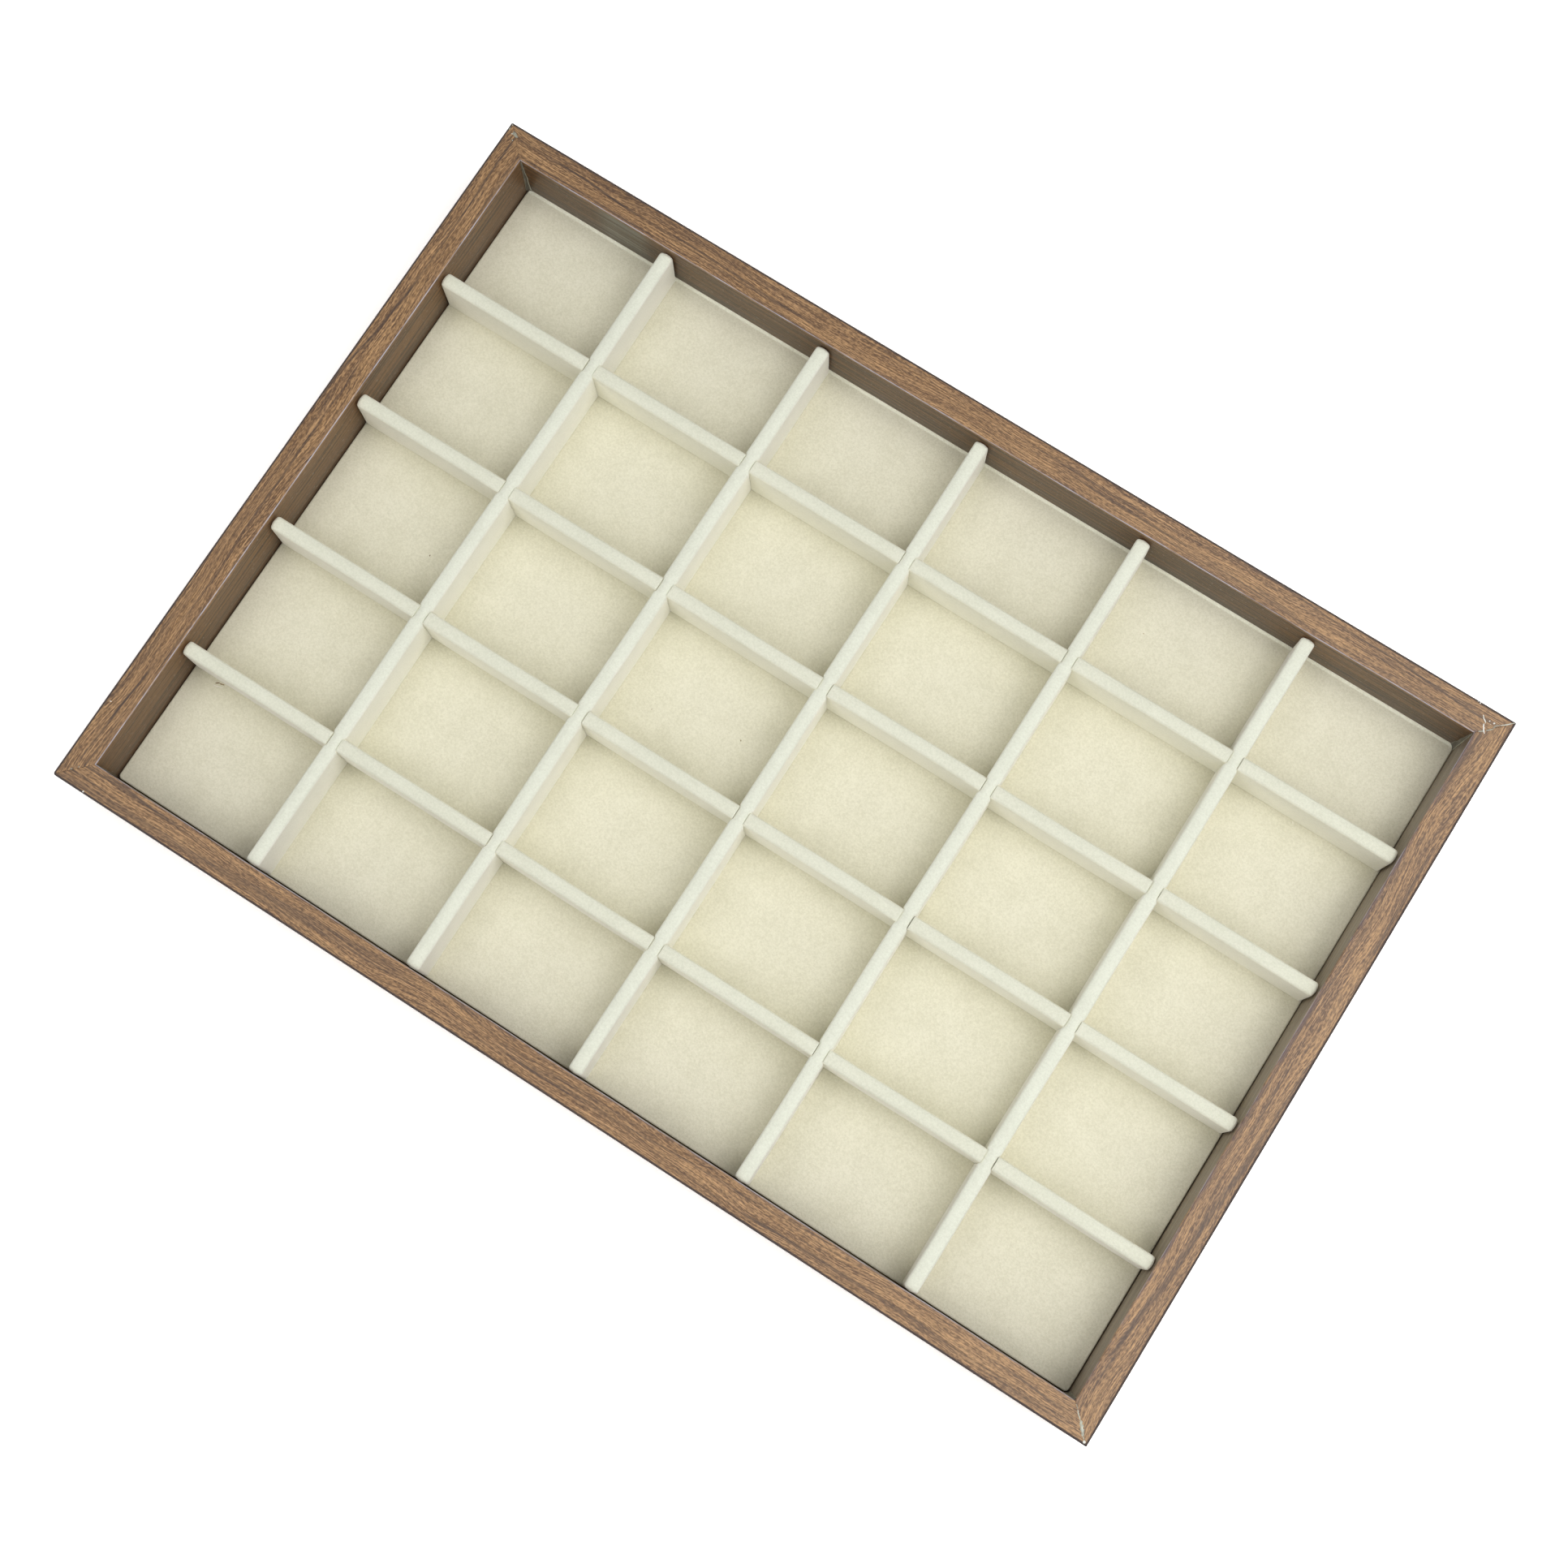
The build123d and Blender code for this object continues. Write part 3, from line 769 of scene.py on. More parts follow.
def suede(name, light, deep, sheen, edge):
    """A mottled suede between two colours: a fine pile, soft patches, and a fine relief. Past an edge,
    given as an axis and two places on it, the colour is multiplied by the edge's fourth value."""
    cloth = Finish(name, 0.95, Sheen_Weight=sheen, Sheen_Roughness=0.4, Specular_IOR_Level=0.15)
    cloth.shader.inputs["Sheen Tint"].default_value = SHEEN_CREAM
    pile = cloth.noise(cloth.places(PILE_SCALE), detail=4.0, rough=0.75)
    patches = cloth.noise(cloth.places(PATCH_SCALE), detail=2.0, rough=0.5)
    mottle = cloth.sum_of("MULTIPLY_ADD", pile, 0.8, cloth.times(patches, 0.2))
    colour = cloth.ramp(mottle, (0.38, deep), (0.60, light))
    # The edge's fourth value paints light into the colour: painted shade along the divider tops, and a
    # painted highlight along the pad's fold.
    axis, start, end, painted_light = edge
    past_edge = cloth.between(cloth.coordinate("Object", axis), start, end)
    painted_light = cloth.blend(past_edge, (1.0, 1.0, 1.0), painted_light)
    colour = cloth.blend(1.0, colour, painted_light, how="MULTIPLY")
    cloth.set("Base Color", colour)
    cloth.relief(pile, PILE_DEPTH)
    return cloth


# Painted highlight: along the fold at the back of the pad the colour is multiplied lighter.
PAD_FOLD_HIGHLIGHT = (*FOLD_HIGHLIGHT_BAND, (1.17, 1.20, 1.25))
# Painted shade: the divider tops are multiplied darker than their sides.
LONG_TOP_SHADE, SHORT_TOP_SHADE = (*TOP_SHADE_BAND, (0.88, 0.895, 0.88)), (*TOP_SHADE_BAND, (0.895, 0.925, 0.88))
pad_cloth = suede("pad_suede", (0.829, 0.800, 0.645), (0.714, 0.686, 0.53), 0.2, PAD_FOLD_HIGHLIGHT)
long_cloth = suede("long_divider_suede", (0.95, 0.935, 0.79), (0.84, 0.83, 0.685), 1.0, LONG_TOP_SHADE)
short_cloth = suede("short_divider_suede", (0.96, 0.95, 0.85), (0.86, 0.85, 0.75), 1.0, SHORT_TOP_SHADE)
print("cloths:", [cloth.material.name for cloth in (pad_cloth, long_cloth, short_cloth)])

# %% [markdown]
# ## The padded floor
#
# The pad is a card and a sheet of foam in a cloth that is turned under the card. Its top is one grid of
# points. Between the dividers the foam swells a little, under each divider it is pressed flat, and along
# the back wall the cloth is folded up into a small lip. The height is a formula and not sculpted by
# hand, so the lint further down can lie exactly on the cloth.

# %% The height of the pad's face
PAD_SWELL, PAD_UNEVEN = 0.28 * MM, 0.10 * MM
UNEVEN_WAVES = (45 * MM, 38 * MM)
PRESSED_WIDTH, PAD_EASE = 3.2 * MM, 4 * MM
LIP, LIP_WIDTH = 0.42 * MM, 0.5 * MM


def swell_between(places, own_lines):
    """Zero at each pressed line and one away from it, as one minus a bell curve of the distance."""
    gap = np.abs(places[..., None] - own_lines).min(axis=-1)
    return 1 - np.exp(-((gap / PRESSED_WIDTH) ** 2))


def pad_height(x, y):
    """The height of the pad's face: a swell between the pressed lines, and a lip along the back edge."""
    pressed = swell_between(y, ROW_PLACES) * swell_between(x, COLUMN_PLACES)
    uneven = wander(x + 0.6 * y, UNEVEN_WAVES[0], 11) * wander(y - 0.4 * x, UNEVEN_WAVES[1], 12)
    edge = np.minimum(pad_high.x - np.abs(x), pad_high.y - np.abs(y))
    inside = np.clip(edge / PAD_EASE, 0, 1)
    lip = LIP * np.exp(-(((pad_high.y - y) / LIP_WIDTH) ** 2))
    return PAD_TOP + lip + inside * pressed * (PAD_SWELL + PAD_UNEVEN * np.clip(uneven, -1, 1))


middle_x, middle_y = COLUMN_PLACES[2:4].mean(), ROW_PLACES[1:3].mean()
swell = float(pad_height(np.array([middle_x]), np.array([middle_y]))[0]) - PAD_TOP
print("a middle compartment swells by", round(swell / MM, 2), "mm")

# %% [markdown]
# ## The pad's cloth
#
# Near the edge the face follows a quarter circle down. The cloth then runs down the sides and under the
# card, and a Solidify modifier gives it its thickness. The back edge is nearly square and pushed against
# the wall, and the right edge is pushed outwards too, most of all at the back.

# %% The pad's cloth
PAD_CORNER, PAD_EDGE = 1.3 * MM, 0.55 * MM
CLOTH = 0.6 * MM
TURNED_WIDTH = 12.0 * MM
PAD_STEP = 1.9 * MM
BACK_SQUARE = 0.45 * MM
BACK_TUCK = INNER_Y - pad_high.y - 0.03 * MM
RIGHT_TUCK, TUCK_RUN = 0.2 * MM, 4 * MM
EDGE_LINES = np.array([0.0, 0.06, 0.18, 0.36, 0.6, 1.0, 1.6, 2.6]) * MM


def lines_across(half, step):
    """Grid lines from edge to edge, close together at both edges."""
    plain = np.linspace(-half + EDGE_LINES[-1], half - EDGE_LINES[-1], round(2 * half / step))
    return np.concatenate([-half + EDGE_LINES[:-1], plain, (half - EDGE_LINES[:-1])[::-1]])


def pad_sheet():
    """The outer face of the pad's cloth: top, sides, and the part turned under."""
    half_x, half_y = pad_high.x, pad_high.y
    lines_x, lines_y = lines_across(half_x, PAD_STEP), lines_across(half_y, PAD_STEP)
    flat_x, flat_y = np.meshgrid(lines_x, lines_y)
    edge = np.minimum(half_x - np.abs(flat_x), half_y - np.abs(flat_y) + BACK_SQUARE * (flat_y > 0))
    x, y = round_plan(flat_x, flat_y, half_x, half_y, PAD_CORNER)
    short = np.clip(PAD_EDGE - edge, 0, PAD_EDGE)
    z = pad_height(flat_x, flat_y) - PAD_EDGE + np.sqrt(PAD_EDGE**2 - short**2)
    x = x + RIGHT_TUCK * np.clip(1 - (half_x - x) / TUCK_RUN, 0, 1) * np.clip(0.5 + y / half_y, 0, 1)
    y = y + BACK_TUCK * np.clip(1 - (half_y - y) / TUCK_RUN, 0, 1)
    top = np.stack([x, y, z], axis=-1)
    rows, columns = x.shape
    number = np.arange(rows * columns).reshape(rows, columns)
    rim = np.concatenate([number[0, :-1], number[:-1, -1], number[-1, :0:-1], number[:0:-1, 0]])
    rim_points = top.reshape(-1, 3)[rim]
    towards_middle = (1 - TURNED_WIDTH / half_x, 1 - TURNED_WIDTH / half_y, 1)
    side = rim_points * (1, 1, 0) + (0, 0, pad_low.z)
    rounded = rim_points * (1, 1, 0) + (0, 0, pad_low.z + CLOTH)
    under = side * towards_middle
    points = np.concatenate([top.reshape(-1, 3), rounded, side, under])
    rings = np.concatenate([rim, rows * columns + np.arange(3 * len(rim))])
    skirt = rings[grid_quads(4, len(rim), closed_rows=True)]
    return points, np.concatenate([grid_quads(rows, columns), skirt[:, ::-1]])


def thicken(piece, name, thickness):
    """Gives a sheet its thickness, inwards from its face."""
    solidify = piece.modifiers.new(name, "SOLIDIFY")
    solidify.thickness, solidify.offset = thickness, -1.0


points, faces = pad_sheet()
pad = make_piece("padded_floor", points, faces, pad_cloth, "tray", ("pad_cover",))
thicken(pad, "cloth_thickness", CLOTH)

# %% [markdown]
# ## The dividers
#
# A divider is a stiff board in the same cloth, with soft edges and with slots where it crosses the
# others. It is made from a flat grid seen from its side, in which the squares inside the slots are left
# out. Each point then moves out to both sides by half the thickness, and by less near an edge, where the
# thickness follows a quarter circle. Cutting the slots with booleans would be shorter, but would leave
# long thin faces that spoil the soft shading.

# %% The sides of a board
SLOT_CLEARANCE = 0.05 * MM
EDGE_SOFT, SLOT_SOFT, REST_SOFT = 0.95 * MM, 0.15 * MM, 0.75 * MM
END_CORNER = 1.1 * MM
PINCH, PINCH_RUN, PINCH_CURVE = 0.45 * MM, 0.8 * MM, 0.7
BOARD_STEP = 3.0 * MM
FINE_LINES = np.array([0.0, 0.06, 0.18, 0.4, 0.7, 1.1, 1.8, 2.7]) * MM


def fine_lines(low, high, marks, step):
    """Grid lines from low to high, evenly spaced, and close together on both sides of each mark."""
    near = np.concatenate([mark + side * FINE_LINES for mark in marks for side in (-1, 1)])
    plain = np.linspace(low, high, round((high - low) / step) + 1)
    clear = np.abs(plain[:, None] - np.array(marks)[None, :]).min(axis=1) > FINE_LINES[-1] + step / 4
    near = near[(near >= low - ROUNDING) & (near <= high + ROUNDING)]
    return np.unique(np.concatenate([near, plain[clear]]).round(7))


def soft_half(distance, radius):
    """Half the board's thickness at a distance from an edge: a quarter circle, then flat."""
    short = np.clip(radius - distance, 0, radius)
    return HALF_BOARD - radius + np.sqrt(radius**2 - short**2)


def pinched(run, height, crossings, squeeze):
    """How far each side of a board is pressed in where another board's slot grips its upper half."""
    past_grip = np.abs(run[..., None] - crossings).min(axis=-1) - HALF_BOARD
    return squeeze * np.clip(0.5 - past_grip / PINCH_RUN, 0, 1) ** PINCH_CURVE * (height > LAP)


def slotted_board(half_run, low, high, slots, slot_low, slot_high, squeeze, crossings, seed):
    """Points (run, height, side) and faces of one divider about the middle of its run. The thickness at a
    point is the least that the distances from the ends, the top, the foot and the slots allow."""
    marks = [-half_run, half_run] + [edge for slot in slots for edge in slot]
    inner_end = slot_low if slot_low > low else slot_high
    runs = fine_lines(-half_run, half_run, marks, BOARD_STEP)
    heights = fine_lines(low, high, [low, high, inner_end], BOARD_STEP)
    run, height = np.meshgrid(runs, heights)
    cell_run, cell_height = (runs[1:] + runs[:-1]) / 2, (heights[1:] + heights[:-1]) / 2
    in_slot = np.zeros((len(cell_height), len(cell_run)), bool)
    slot_gap = np.full(run.shape, half_run)
    for start, end in slots:
        hole_rows = (cell_height > slot_low) & (cell_height < slot_high)
        in_slot |= np.outer(hole_rows, (cell_run > start) & (cell_run < end))
        off_run = np.maximum(np.maximum(start - run, run - end), 0)
        off_height = np.maximum(np.maximum(slot_low - height, height - slot_high), 0)
        slot_gap = np.minimum(slot_gap, np.hypot(off_run, off_height))
    end_gap, top_gap, rest_gap = half_run - np.abs(run), high - height, height - low
    half = np.minimum.reduce([
        soft_half(end_gap, EDGE_SOFT),
        soft_half(top_gap, EDGE_SOFT),
        soft_half(rest_gap, REST_SOFT),
        soft_half(slot_gap, SLOT_SOFT),
    ]) - pinched(run, height, crossings, squeeze)
    middle_height = low - (high - low)
    run, height = round_plan(run, height - middle_height, half_run, high - middle_height, END_CORNER)
    height = height + middle_height
    quads = grid_quads(*run.shape)[~in_slot.ravel()]
    return board_solid(run.ravel(), height.ravel(), half.ravel(), quads, slot_gap.ravel(), seed)


print("a board is", round(2 * HALF_BOARD / MM, 2), "mm thick, and lapped at", round(LAP / MM, 2), "mm")

# %% [markdown]
# ## The edges of a board
#
# The two sides of a board are joined all round its outline, through the slots too, so that it is one
# closed surface. The open edges of the flat grid are those that belong to one square only. A strip
# with a slight crown runs along them, because cloth that is folded round a board is never quite flat.

# %% The edges of a board
CROWN, SLOT_CROWN = 0.20 * MM, 0.02 * MM
STRIP_STEPS = 6
BOARD_BOW, BOW_WAVE = 0.12 * MM, 110 * MM
TOP_WANDER, TOP_WAVE = 0.06 * MM, 40 * MM
AT_SLOT = 1e-7


def board_solid(run, height, half, quads, slot_gap, seed):
    """Two sides from one flat grid, joined by a strip whose crown is a parabola from side to side. The
    board bows a little along its run, and its height wanders, more and more towards the top."""
    edges = np.concatenate([quads[:, [corner, (corner + 1) % 4]] for corner in range(4)])
    key = np.sort(edges, axis=1) @ (len(run), 1)
    _, first, count = np.unique(key, return_index=True, return_counts=True)
    border = edges[first[count == 1]]
    start, end = border.T
    bow = BOARD_BOW * wander(run, BOW_WAVE, seed)
    rise = np.clip((height - PAD_TOP) / (DIVIDER_TOP - PAD_TOP), 0, 1)
    height = height + TOP_WANDER * wander(run, TOP_WAVE, seed + 50) * rise - TOP_WANDER
    step = np.column_stack([run[end] - run[start], height[end] - height[start]])
    outward = np.column_stack([step[:, 1], -step[:, 0]])
    outward /= np.linalg.norm(outward, axis=1)[:, None]
    normal = np.zeros((len(run), 2))
    np.add.at(normal, start, outward)
    np.add.at(normal, end, outward)
    normal /= np.maximum(np.linalg.norm(normal, axis=1), ROUNDING)[:, None]
    rim = np.unique(border)
    place = np.zeros(len(run), int)
    place[rim] = np.arange(len(rim))
    share = np.linspace(-1, 1, STRIP_STEPS + 1)[1:-1]
    crown = np.where(slot_gap[rim] < AT_SLOT, SLOT_CROWN, CROWN)[None, :] * (1 - share[:, None] ** 2)
    strip = np.stack([
        run[rim] + normal[rim, 0] * crown,
        height[rim] + normal[rim, 1] * crown,
        half[rim] * share[:, None] + bow[rim],
    ], axis=-1)
    near_side = np.column_stack([run, height, -half + bow])
    far_side = np.column_stack([run, height, half + bow])
    total = len(run)
    points = np.concatenate([near_side, far_side, strip.reshape(-1, 3)])
    levels = [border] + [2 * total + level * len(rim) + place[border] for level in range(len(share))]
    levels.append(border + total)
    walls = [
        np.column_stack([low_edge[:, 1], low_edge[:, 0], high_edge[:, 0], high_edge[:, 1]])
        for low_edge, high_edge in zip(levels[:-1], levels[1:])
    ]
    faces = np.concatenate([quads, quads[:, ::-1] + total] + walls)
    used, faces = np.unique(faces, return_inverse=True)
    return points[used], faces.reshape(-1, 4)


print("steps across the edge of a board:", STRIP_STEPS)

# %% [markdown]
# ## The nine dividers
#
# The four long dividers are slotted from above and the five short ones from below, so that the short
# ones drop onto the long ones, whose slots pinch their cloth. All nine could be copies of two meshes.
# Each has its own seed instead, so their edges wander differently, as those of real boards do.

# %% The nine dividers
for seed, name in enumerate(LONG_NAMES + SHORT_NAMES, start=20):
    is_long = name in LONG_NAMES
    crossings = COLUMN_PLACES if is_long else ROW_PLACES
    squeeze = 0.0 if is_long else PINCH
    slot_half = HALF_BOARD + SLOT_CLEARANCE - (PINCH if is_long else 0.0)
    slots = [(place - slot_half, place + slot_half) for place in crossings]
    low_corner, high_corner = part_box(f"{name}_cover")
    half_run = (high_corner - low_corner)[0 if is_long else 1] / 2 - CROWN
    low, high = low_corner.z, high_corner.z - CROWN
    slot_low, slot_high = (LAP, high) if is_long else (low, LAP + SLOT_CLEARANCE)
    outline, cut = (half_run, low, high), (slots, slot_low, slot_high)
    local, faces = slotted_board(*outline, *cut, squeeze, crossings, seed)
    run, height, side = local.T
    if is_long:
        points = np.column_stack([run, middle[name].y + side, height])
    else:
        points = np.column_stack([middle[name].x + side, run, height])
    body, cloth = ("divider_grid", long_cloth) if is_long else (name, short_cloth)
    make_piece(f"{name}_cloth", points, faces, cloth, body, (f"{name}_cover",))

# %% [markdown]
# ## Set glue
#
# Where two rails meet, glue has crept out of the mitre and set in the corner between their inner faces,
# and it has dried on the rim as well. It is dark and clear where it is thick, so that the film shows
# through it, and pale at its thin edges. Real transparency would be slow and hard to bake, so the
# paleness comes from the U coordinate of each piece, with soft clouds over it.

# %% Set glue
CLOUD_SCALE, GLUE_DEPTH = (0.9, 0.9, 0.5), 0.05 * MM
# Paleness and colour, from the clear middle of a bead to a thin dry edge
GLUE_STOPS = [
    (0.0, (0.075, 0.065, 0.048)), (0.35, (0.20, 0.18, 0.135)),
    (0.65, (0.46, 0.47, 0.37)), (0.95, (0.86, 0.85, 0.79)),
]

glue = Finish("set_glue", 0.28, Specular_IOR_Level=0.5)
clouds = glue.noise(glue.places(CLOUD_SCALE), detail=3.0)
cloudy = glue.sum_of("SUBTRACT", clouds, 0.5)
paleness = glue.sum_of("MULTIPLY_ADD", cloudy, 0.5, glue.coordinate("UV", "X"))
glue.set("Base Color", glue.ramp(paleness, *GLUE_STOPS))
glue.relief(clouds, GLUE_DEPTH)
print("shades of glue:", len(GLUE_STOPS))

# %% [markdown]
# ## Glue in the inner corners
#
# Each bead is a ring of points stacked from the pad up to the rim: half of the ring follows the two
# walls, and the other half sags between them. The four beads differ, as they do on the tray: the one at
# the back right spans the corner like a web, and the one at the front left is only a thin line.

# %% Glue in the inner corners
BEAD_HALF, BEAD_LEVELS = 7, 28
BEAD_GAP, BEAD_SHORT = 0.05 * MM, 0.8 * MM
LEG_CURVE, LEG_WANDER, LEG_WAVE = 0.8, 0.16, 7 * MM
PALE_FADE = 5
# Each bead: its legs along the long and the short wall, at its foot and at its top, in millimetres; how
# far its face sags, as a share; its thickness at the walls, in millimetres; and how pale both edges are
BEADS = {
    (-1, 1): dict(foot=(1.8, 1.1), top=(0.35, 0.3), sag=0.35, edge=0.16, pale=(0.80, 0.35), seed=41),
    (1, 1): dict(foot=(1.7, 1.6), top=(0.2, 0.2), sag=0.42, edge=0.10, pale=(0.45, 0.75), seed=42),
    (1, -1): dict(foot=(1.5, 1.3), top=(0.9, 0.8), sag=0.30, edge=0.10, pale=(0.6, 0.5), seed=43),
    (-1, -1): dict(foot=(0.7, 0.5), top=(0.2, 0.2), sag=0.25, edge=0.05, pale=(0.2, 0.2), seed=44),
}


def glue_bead(corner, foot, top, sag, edge, pale, seed):
    """A bead from the pad to just below the rim. Its legs along the two walls shrink upwards and wander,
    and its face is a quadratic curve from wall to wall whose middle is pulled towards the corner."""
    height = np.linspace(PAD_TOP + BEAD_GAP, FILM_TOP - BEAD_SHORT, BEAD_LEVELS)
    rise = np.linspace(0, 1, BEAD_LEVELS)[:, None]
    legs = [
        (low + (high - low) * rise**LEG_CURVE) * MM
        * (1 + LEG_WANDER * wander(height, LEG_WAVE, seed + turn)[:, None])
        for turn, (low, high) in enumerate(zip(foot, top))
    ]
    walls = np.linspace(-1, 1, BEAD_HALF)[None, :]
    wall_x, wall_y = np.maximum(-walls, 0) * legs[0], np.maximum(walls, 0) * legs[1]
    share = np.linspace(0, 1, BEAD_HALF)[None, :]
    at_start, at_middle, at_end = (1 - share) ** 2, 2 * share * (1 - share) * sag, share**2
    face_x = at_start * edge * MM + (at_middle + at_end) * legs[0]
    face_y = (at_start + at_middle) * legs[1] + at_end * edge * MM
    x = corner[0] * (INNER_X - np.concatenate([wall_x, face_x], axis=1))
    y = corner[1] * (INNER_Y - np.concatenate([wall_y, face_y], axis=1))
    z = np.broadcast_to(height[:, None], x.shape)
    fades = 1 - share[0] * PALE_FADE
    tint = np.maximum(pale[1] * fades, pale[0] * fades[::-1]).clip(0, 1)
    tint = np.concatenate([np.zeros(BEAD_HALF), tint])[None, :] * np.ones((BEAD_LEVELS, 1))
    uv = np.stack([tint, rise * np.ones_like(tint)], axis=-1).reshape(-1, 2)
    return np.stack([x, y, z], axis=-1).reshape(-1, 3), tube_faces(BEAD_LEVELS, 2 * BEAD_HALF), uv


def join_parts(parts):
    """Several (points, faces, uv) parts as one, each with its faces turned outwards."""
    points, faces, uvs, start = [], [], [], 0
    for part_points, part_faces, part_uv in parts:
        if signed_volume(part_points, part_faces) < 0:
            part_faces = part_faces[:, ::-1]
        points.append(part_points)
        faces.append(part_faces + start)
        uvs.append(part_uv)
        start += len(part_points)
    return np.concatenate(points), np.concatenate(faces), np.concatenate(uvs)


beads = [glue_bead(corner, **shape) for corner, shape in BEADS.items()]
points, faces, uv = join_parts(beads)
make_piece("glue_beads", points, faces, glue, "tray", ("corner_glue_beads",), uv)

# %% [markdown]
# ## Trails
#
# Dried glue on the rim and lint on the pad are small trails: a low dome carried along a short path,
# wider or narrower on the way. They could be painted into the colours, but then they would catch no
# light and throw no shadow.

# %% A trail
TRAIL_STEP, TRAIL_HALF, FEWEST = 0.22 * MM, 6, 6
TRAIL_SUNK = 0.02 * MM
PATH_WANDER, PATH_WAVE = 0.12, 1.3 * MM
WIDTH_WANDER, WIDTH_WAVE = 0.25, 0.9 * MM
END_SHARE = 0.06


def trail(path, width, height, floor_height, tone, seed):
    """A low dome carried along a path. Across the path it is half a circle made low, its width swells and
    shrinks at random, and both run out at the ends. Its flat underside lies a hair deep in the floor."""
    corners = np.array(path)
    passed = np.concatenate([[0], np.cumsum(np.hypot(*np.diff(corners, axis=0).T))])
    count = max(FEWEST, round(passed[-1] / TRAIL_STEP))
    share = (1 - np.cos(np.linspace(0, math.pi, count))) / 2
    along = share * passed[-1]
    centre = np.column_stack([np.interp(along, passed, corners[:, axis]) for axis in (0, 1)])
    centre += PATH_WANDER * width * wander(along, PATH_WAVE, seed)[:, None]
    ahead = np.gradient(centre, axis=0)
    ahead /= np.linalg.norm(ahead, axis=1)[:, None]
    sideways = np.column_stack([-ahead[:, 1], ahead[:, 0]])
    run_out = np.sqrt(1 - np.abs(2 * share - 1) ** 3).clip(END_SHARE, 1)
    half_width = width / 2 * run_out * (1 + WIDTH_WANDER * wander(along, WIDTH_WAVE, seed + 1))
    over = np.linspace(math.pi, 0, TRAIL_HALF)
    reach = np.concatenate([np.cos(over), np.cos(over[::-1])])
    rise = np.concatenate([np.sin(over) * height, np.zeros(TRAIL_HALF)])
    plan = centre[:, None, :] + sideways[:, None, :] * (half_width[:, None] * reach[None, :])[..., None]
    level = floor_height - TRAIL_SUNK + run_out[:, None] * rise[None, :]
    points = np.concatenate([plan, level[..., None]], axis=-1).reshape(-1, 3)
    uv = np.column_stack([np.full(len(points), tone), np.zeros(len(points))])
    return points, tube_faces(count, 2 * TRAIL_HALF), uv


print("points round a trail:", 2 * TRAIL_HALF)

# %% [markdown]
# ## Dried glue on the rim
#
# There is a thin pale line over the mitre at the back right, with two short threads and some drops
# beside it, a crust at the front right, and faint smears on the left. Places are written as distances
# in from the outer corner, along the long and the short rail.

# %% Dried glue on the rim
# Each trail, in millimetres: its path, its width and its height, and then how pale it is
TRAILS = {
    (1, 1): [
        ([(0.4, 0.25), (1.05, 0.85), (1.95, 1.75), (2.9, 2.6), (3.7, 3.2)], 0.34, 0.10, 0.72),
        ([(3.5, 3.1), (4.7, 3.9), (5.0, 4.9), (4.6, 5.3)], 0.55, 0.03, 0.40),
        ([(4.7, 5.1), (5.6, 5.9), (6.5, 6.8)], 0.40, 0.06, 0.55),
        ([(6.9, 7.1), (7.5, 7.6), (8.2, 8.1)], 0.50, 0.05, 0.50),
        ([(9.45, 3.05), (8.65, 3.85), (7.95, 4.35), (7.6, 5.0)], 0.36, 0.11, 0.85),
        ([(8.05, 5.15), (7.35, 6.35), (6.75, 7.35), (6.3, 7.8)], 0.42, 0.12, 0.97),
        ([(7.0, 3.6), (6.7, 3.7)], 0.48, 0.12, 0.97),
        ([(5.7, 3.45), (5.2, 3.65)], 0.66, 0.12, 0.93),
        ([(6.3, 4.3), (6.1, 4.4)], 0.34, 0.10, 0.75),
        ([(11.9, 0.35), (11.55, 0.4)], 0.50, 0.12, 0.97),
        ([(12.7, 0.35), (12.5, 0.38)], 0.34, 0.10, 0.80),
    ],
    (1, -1): [
        ([(8.3, 8.4), (7.8, 8.0), (7.2, 7.3)], 0.22, 0.05, 0.50),
        ([(7.2, 7.3), (6.3, 6.3), (5.3, 5.4), (4.9, 5.0)], 0.34, 0.08, 0.66),
        ([(5.1, 5.2), (3.9, 4.0), (3.0, 2.9), (2.2, 1.9)], 0.95, 0.10, 0.58),
        ([(4.1, 4.3), (3.3, 3.2), (2.7, 2.5)], 0.30, 0.12, 0.80),
        ([(2.2, 2.0), (1.9, 1.6), (1.5, 1.3)], 0.30, 0.08, 0.62),
        ([(1.5, 1.2), (1.15, 0.9), (0.95, 0.5)], 0.85, 0.12, 0.88),
    ],
    (-1, 1): [
        ([(2.0, 2.1), (2.7, 2.7), (3.6, 3.1), (4.2, 3.5)], 1.10, 0.05, 0.42),
        ([(2.1, 3.3), (2.3, 2.9)], 0.50, 0.09, 0.72),
        ([(3.3, 5.0), (3.5, 4.7)], 0.42, 0.08, 0.62),
        ([(0.6, 0.4), (0.7, 1.0)], 0.36, 0.05, 0.52),
        ([(0.6, 1.6), (0.55, 2.6)], 0.36, 0.05, 0.50),
    ],
    (-1, -1): [
        ([(10.3, 0.45), (10.8, 0.45)], 0.70, 0.12, 1.0),
        ([(1.7, 26.45), (1.7, 26.75)], 0.75, 0.12, 1.0),
        ([(3.5, 3.9), (4.0, 4.4)], 0.55, 0.05, 0.45),
        ([(5.1, 5.6), (5.5, 6.0)], 0.50, 0.04, 0.38),
    ],
}

rim_marks = []
for corner, trails in TRAILS.items():
    for path, width, height, tone in trails:
        outer_corner = np.array([corner[0] * HALF_LENGTH, corner[1] * HALF_WIDTH])
        places = outer_corner - np.array(corner) * np.array(path) * MM
        rim_marks.append(trail(places, width * MM, height * MM, FILM_TOP, tone, 60 + len(rim_marks)))
points, faces, uv = join_parts(rim_marks)
make_piece("glue_marks", points, faces, glue, "tray", uv=uv)

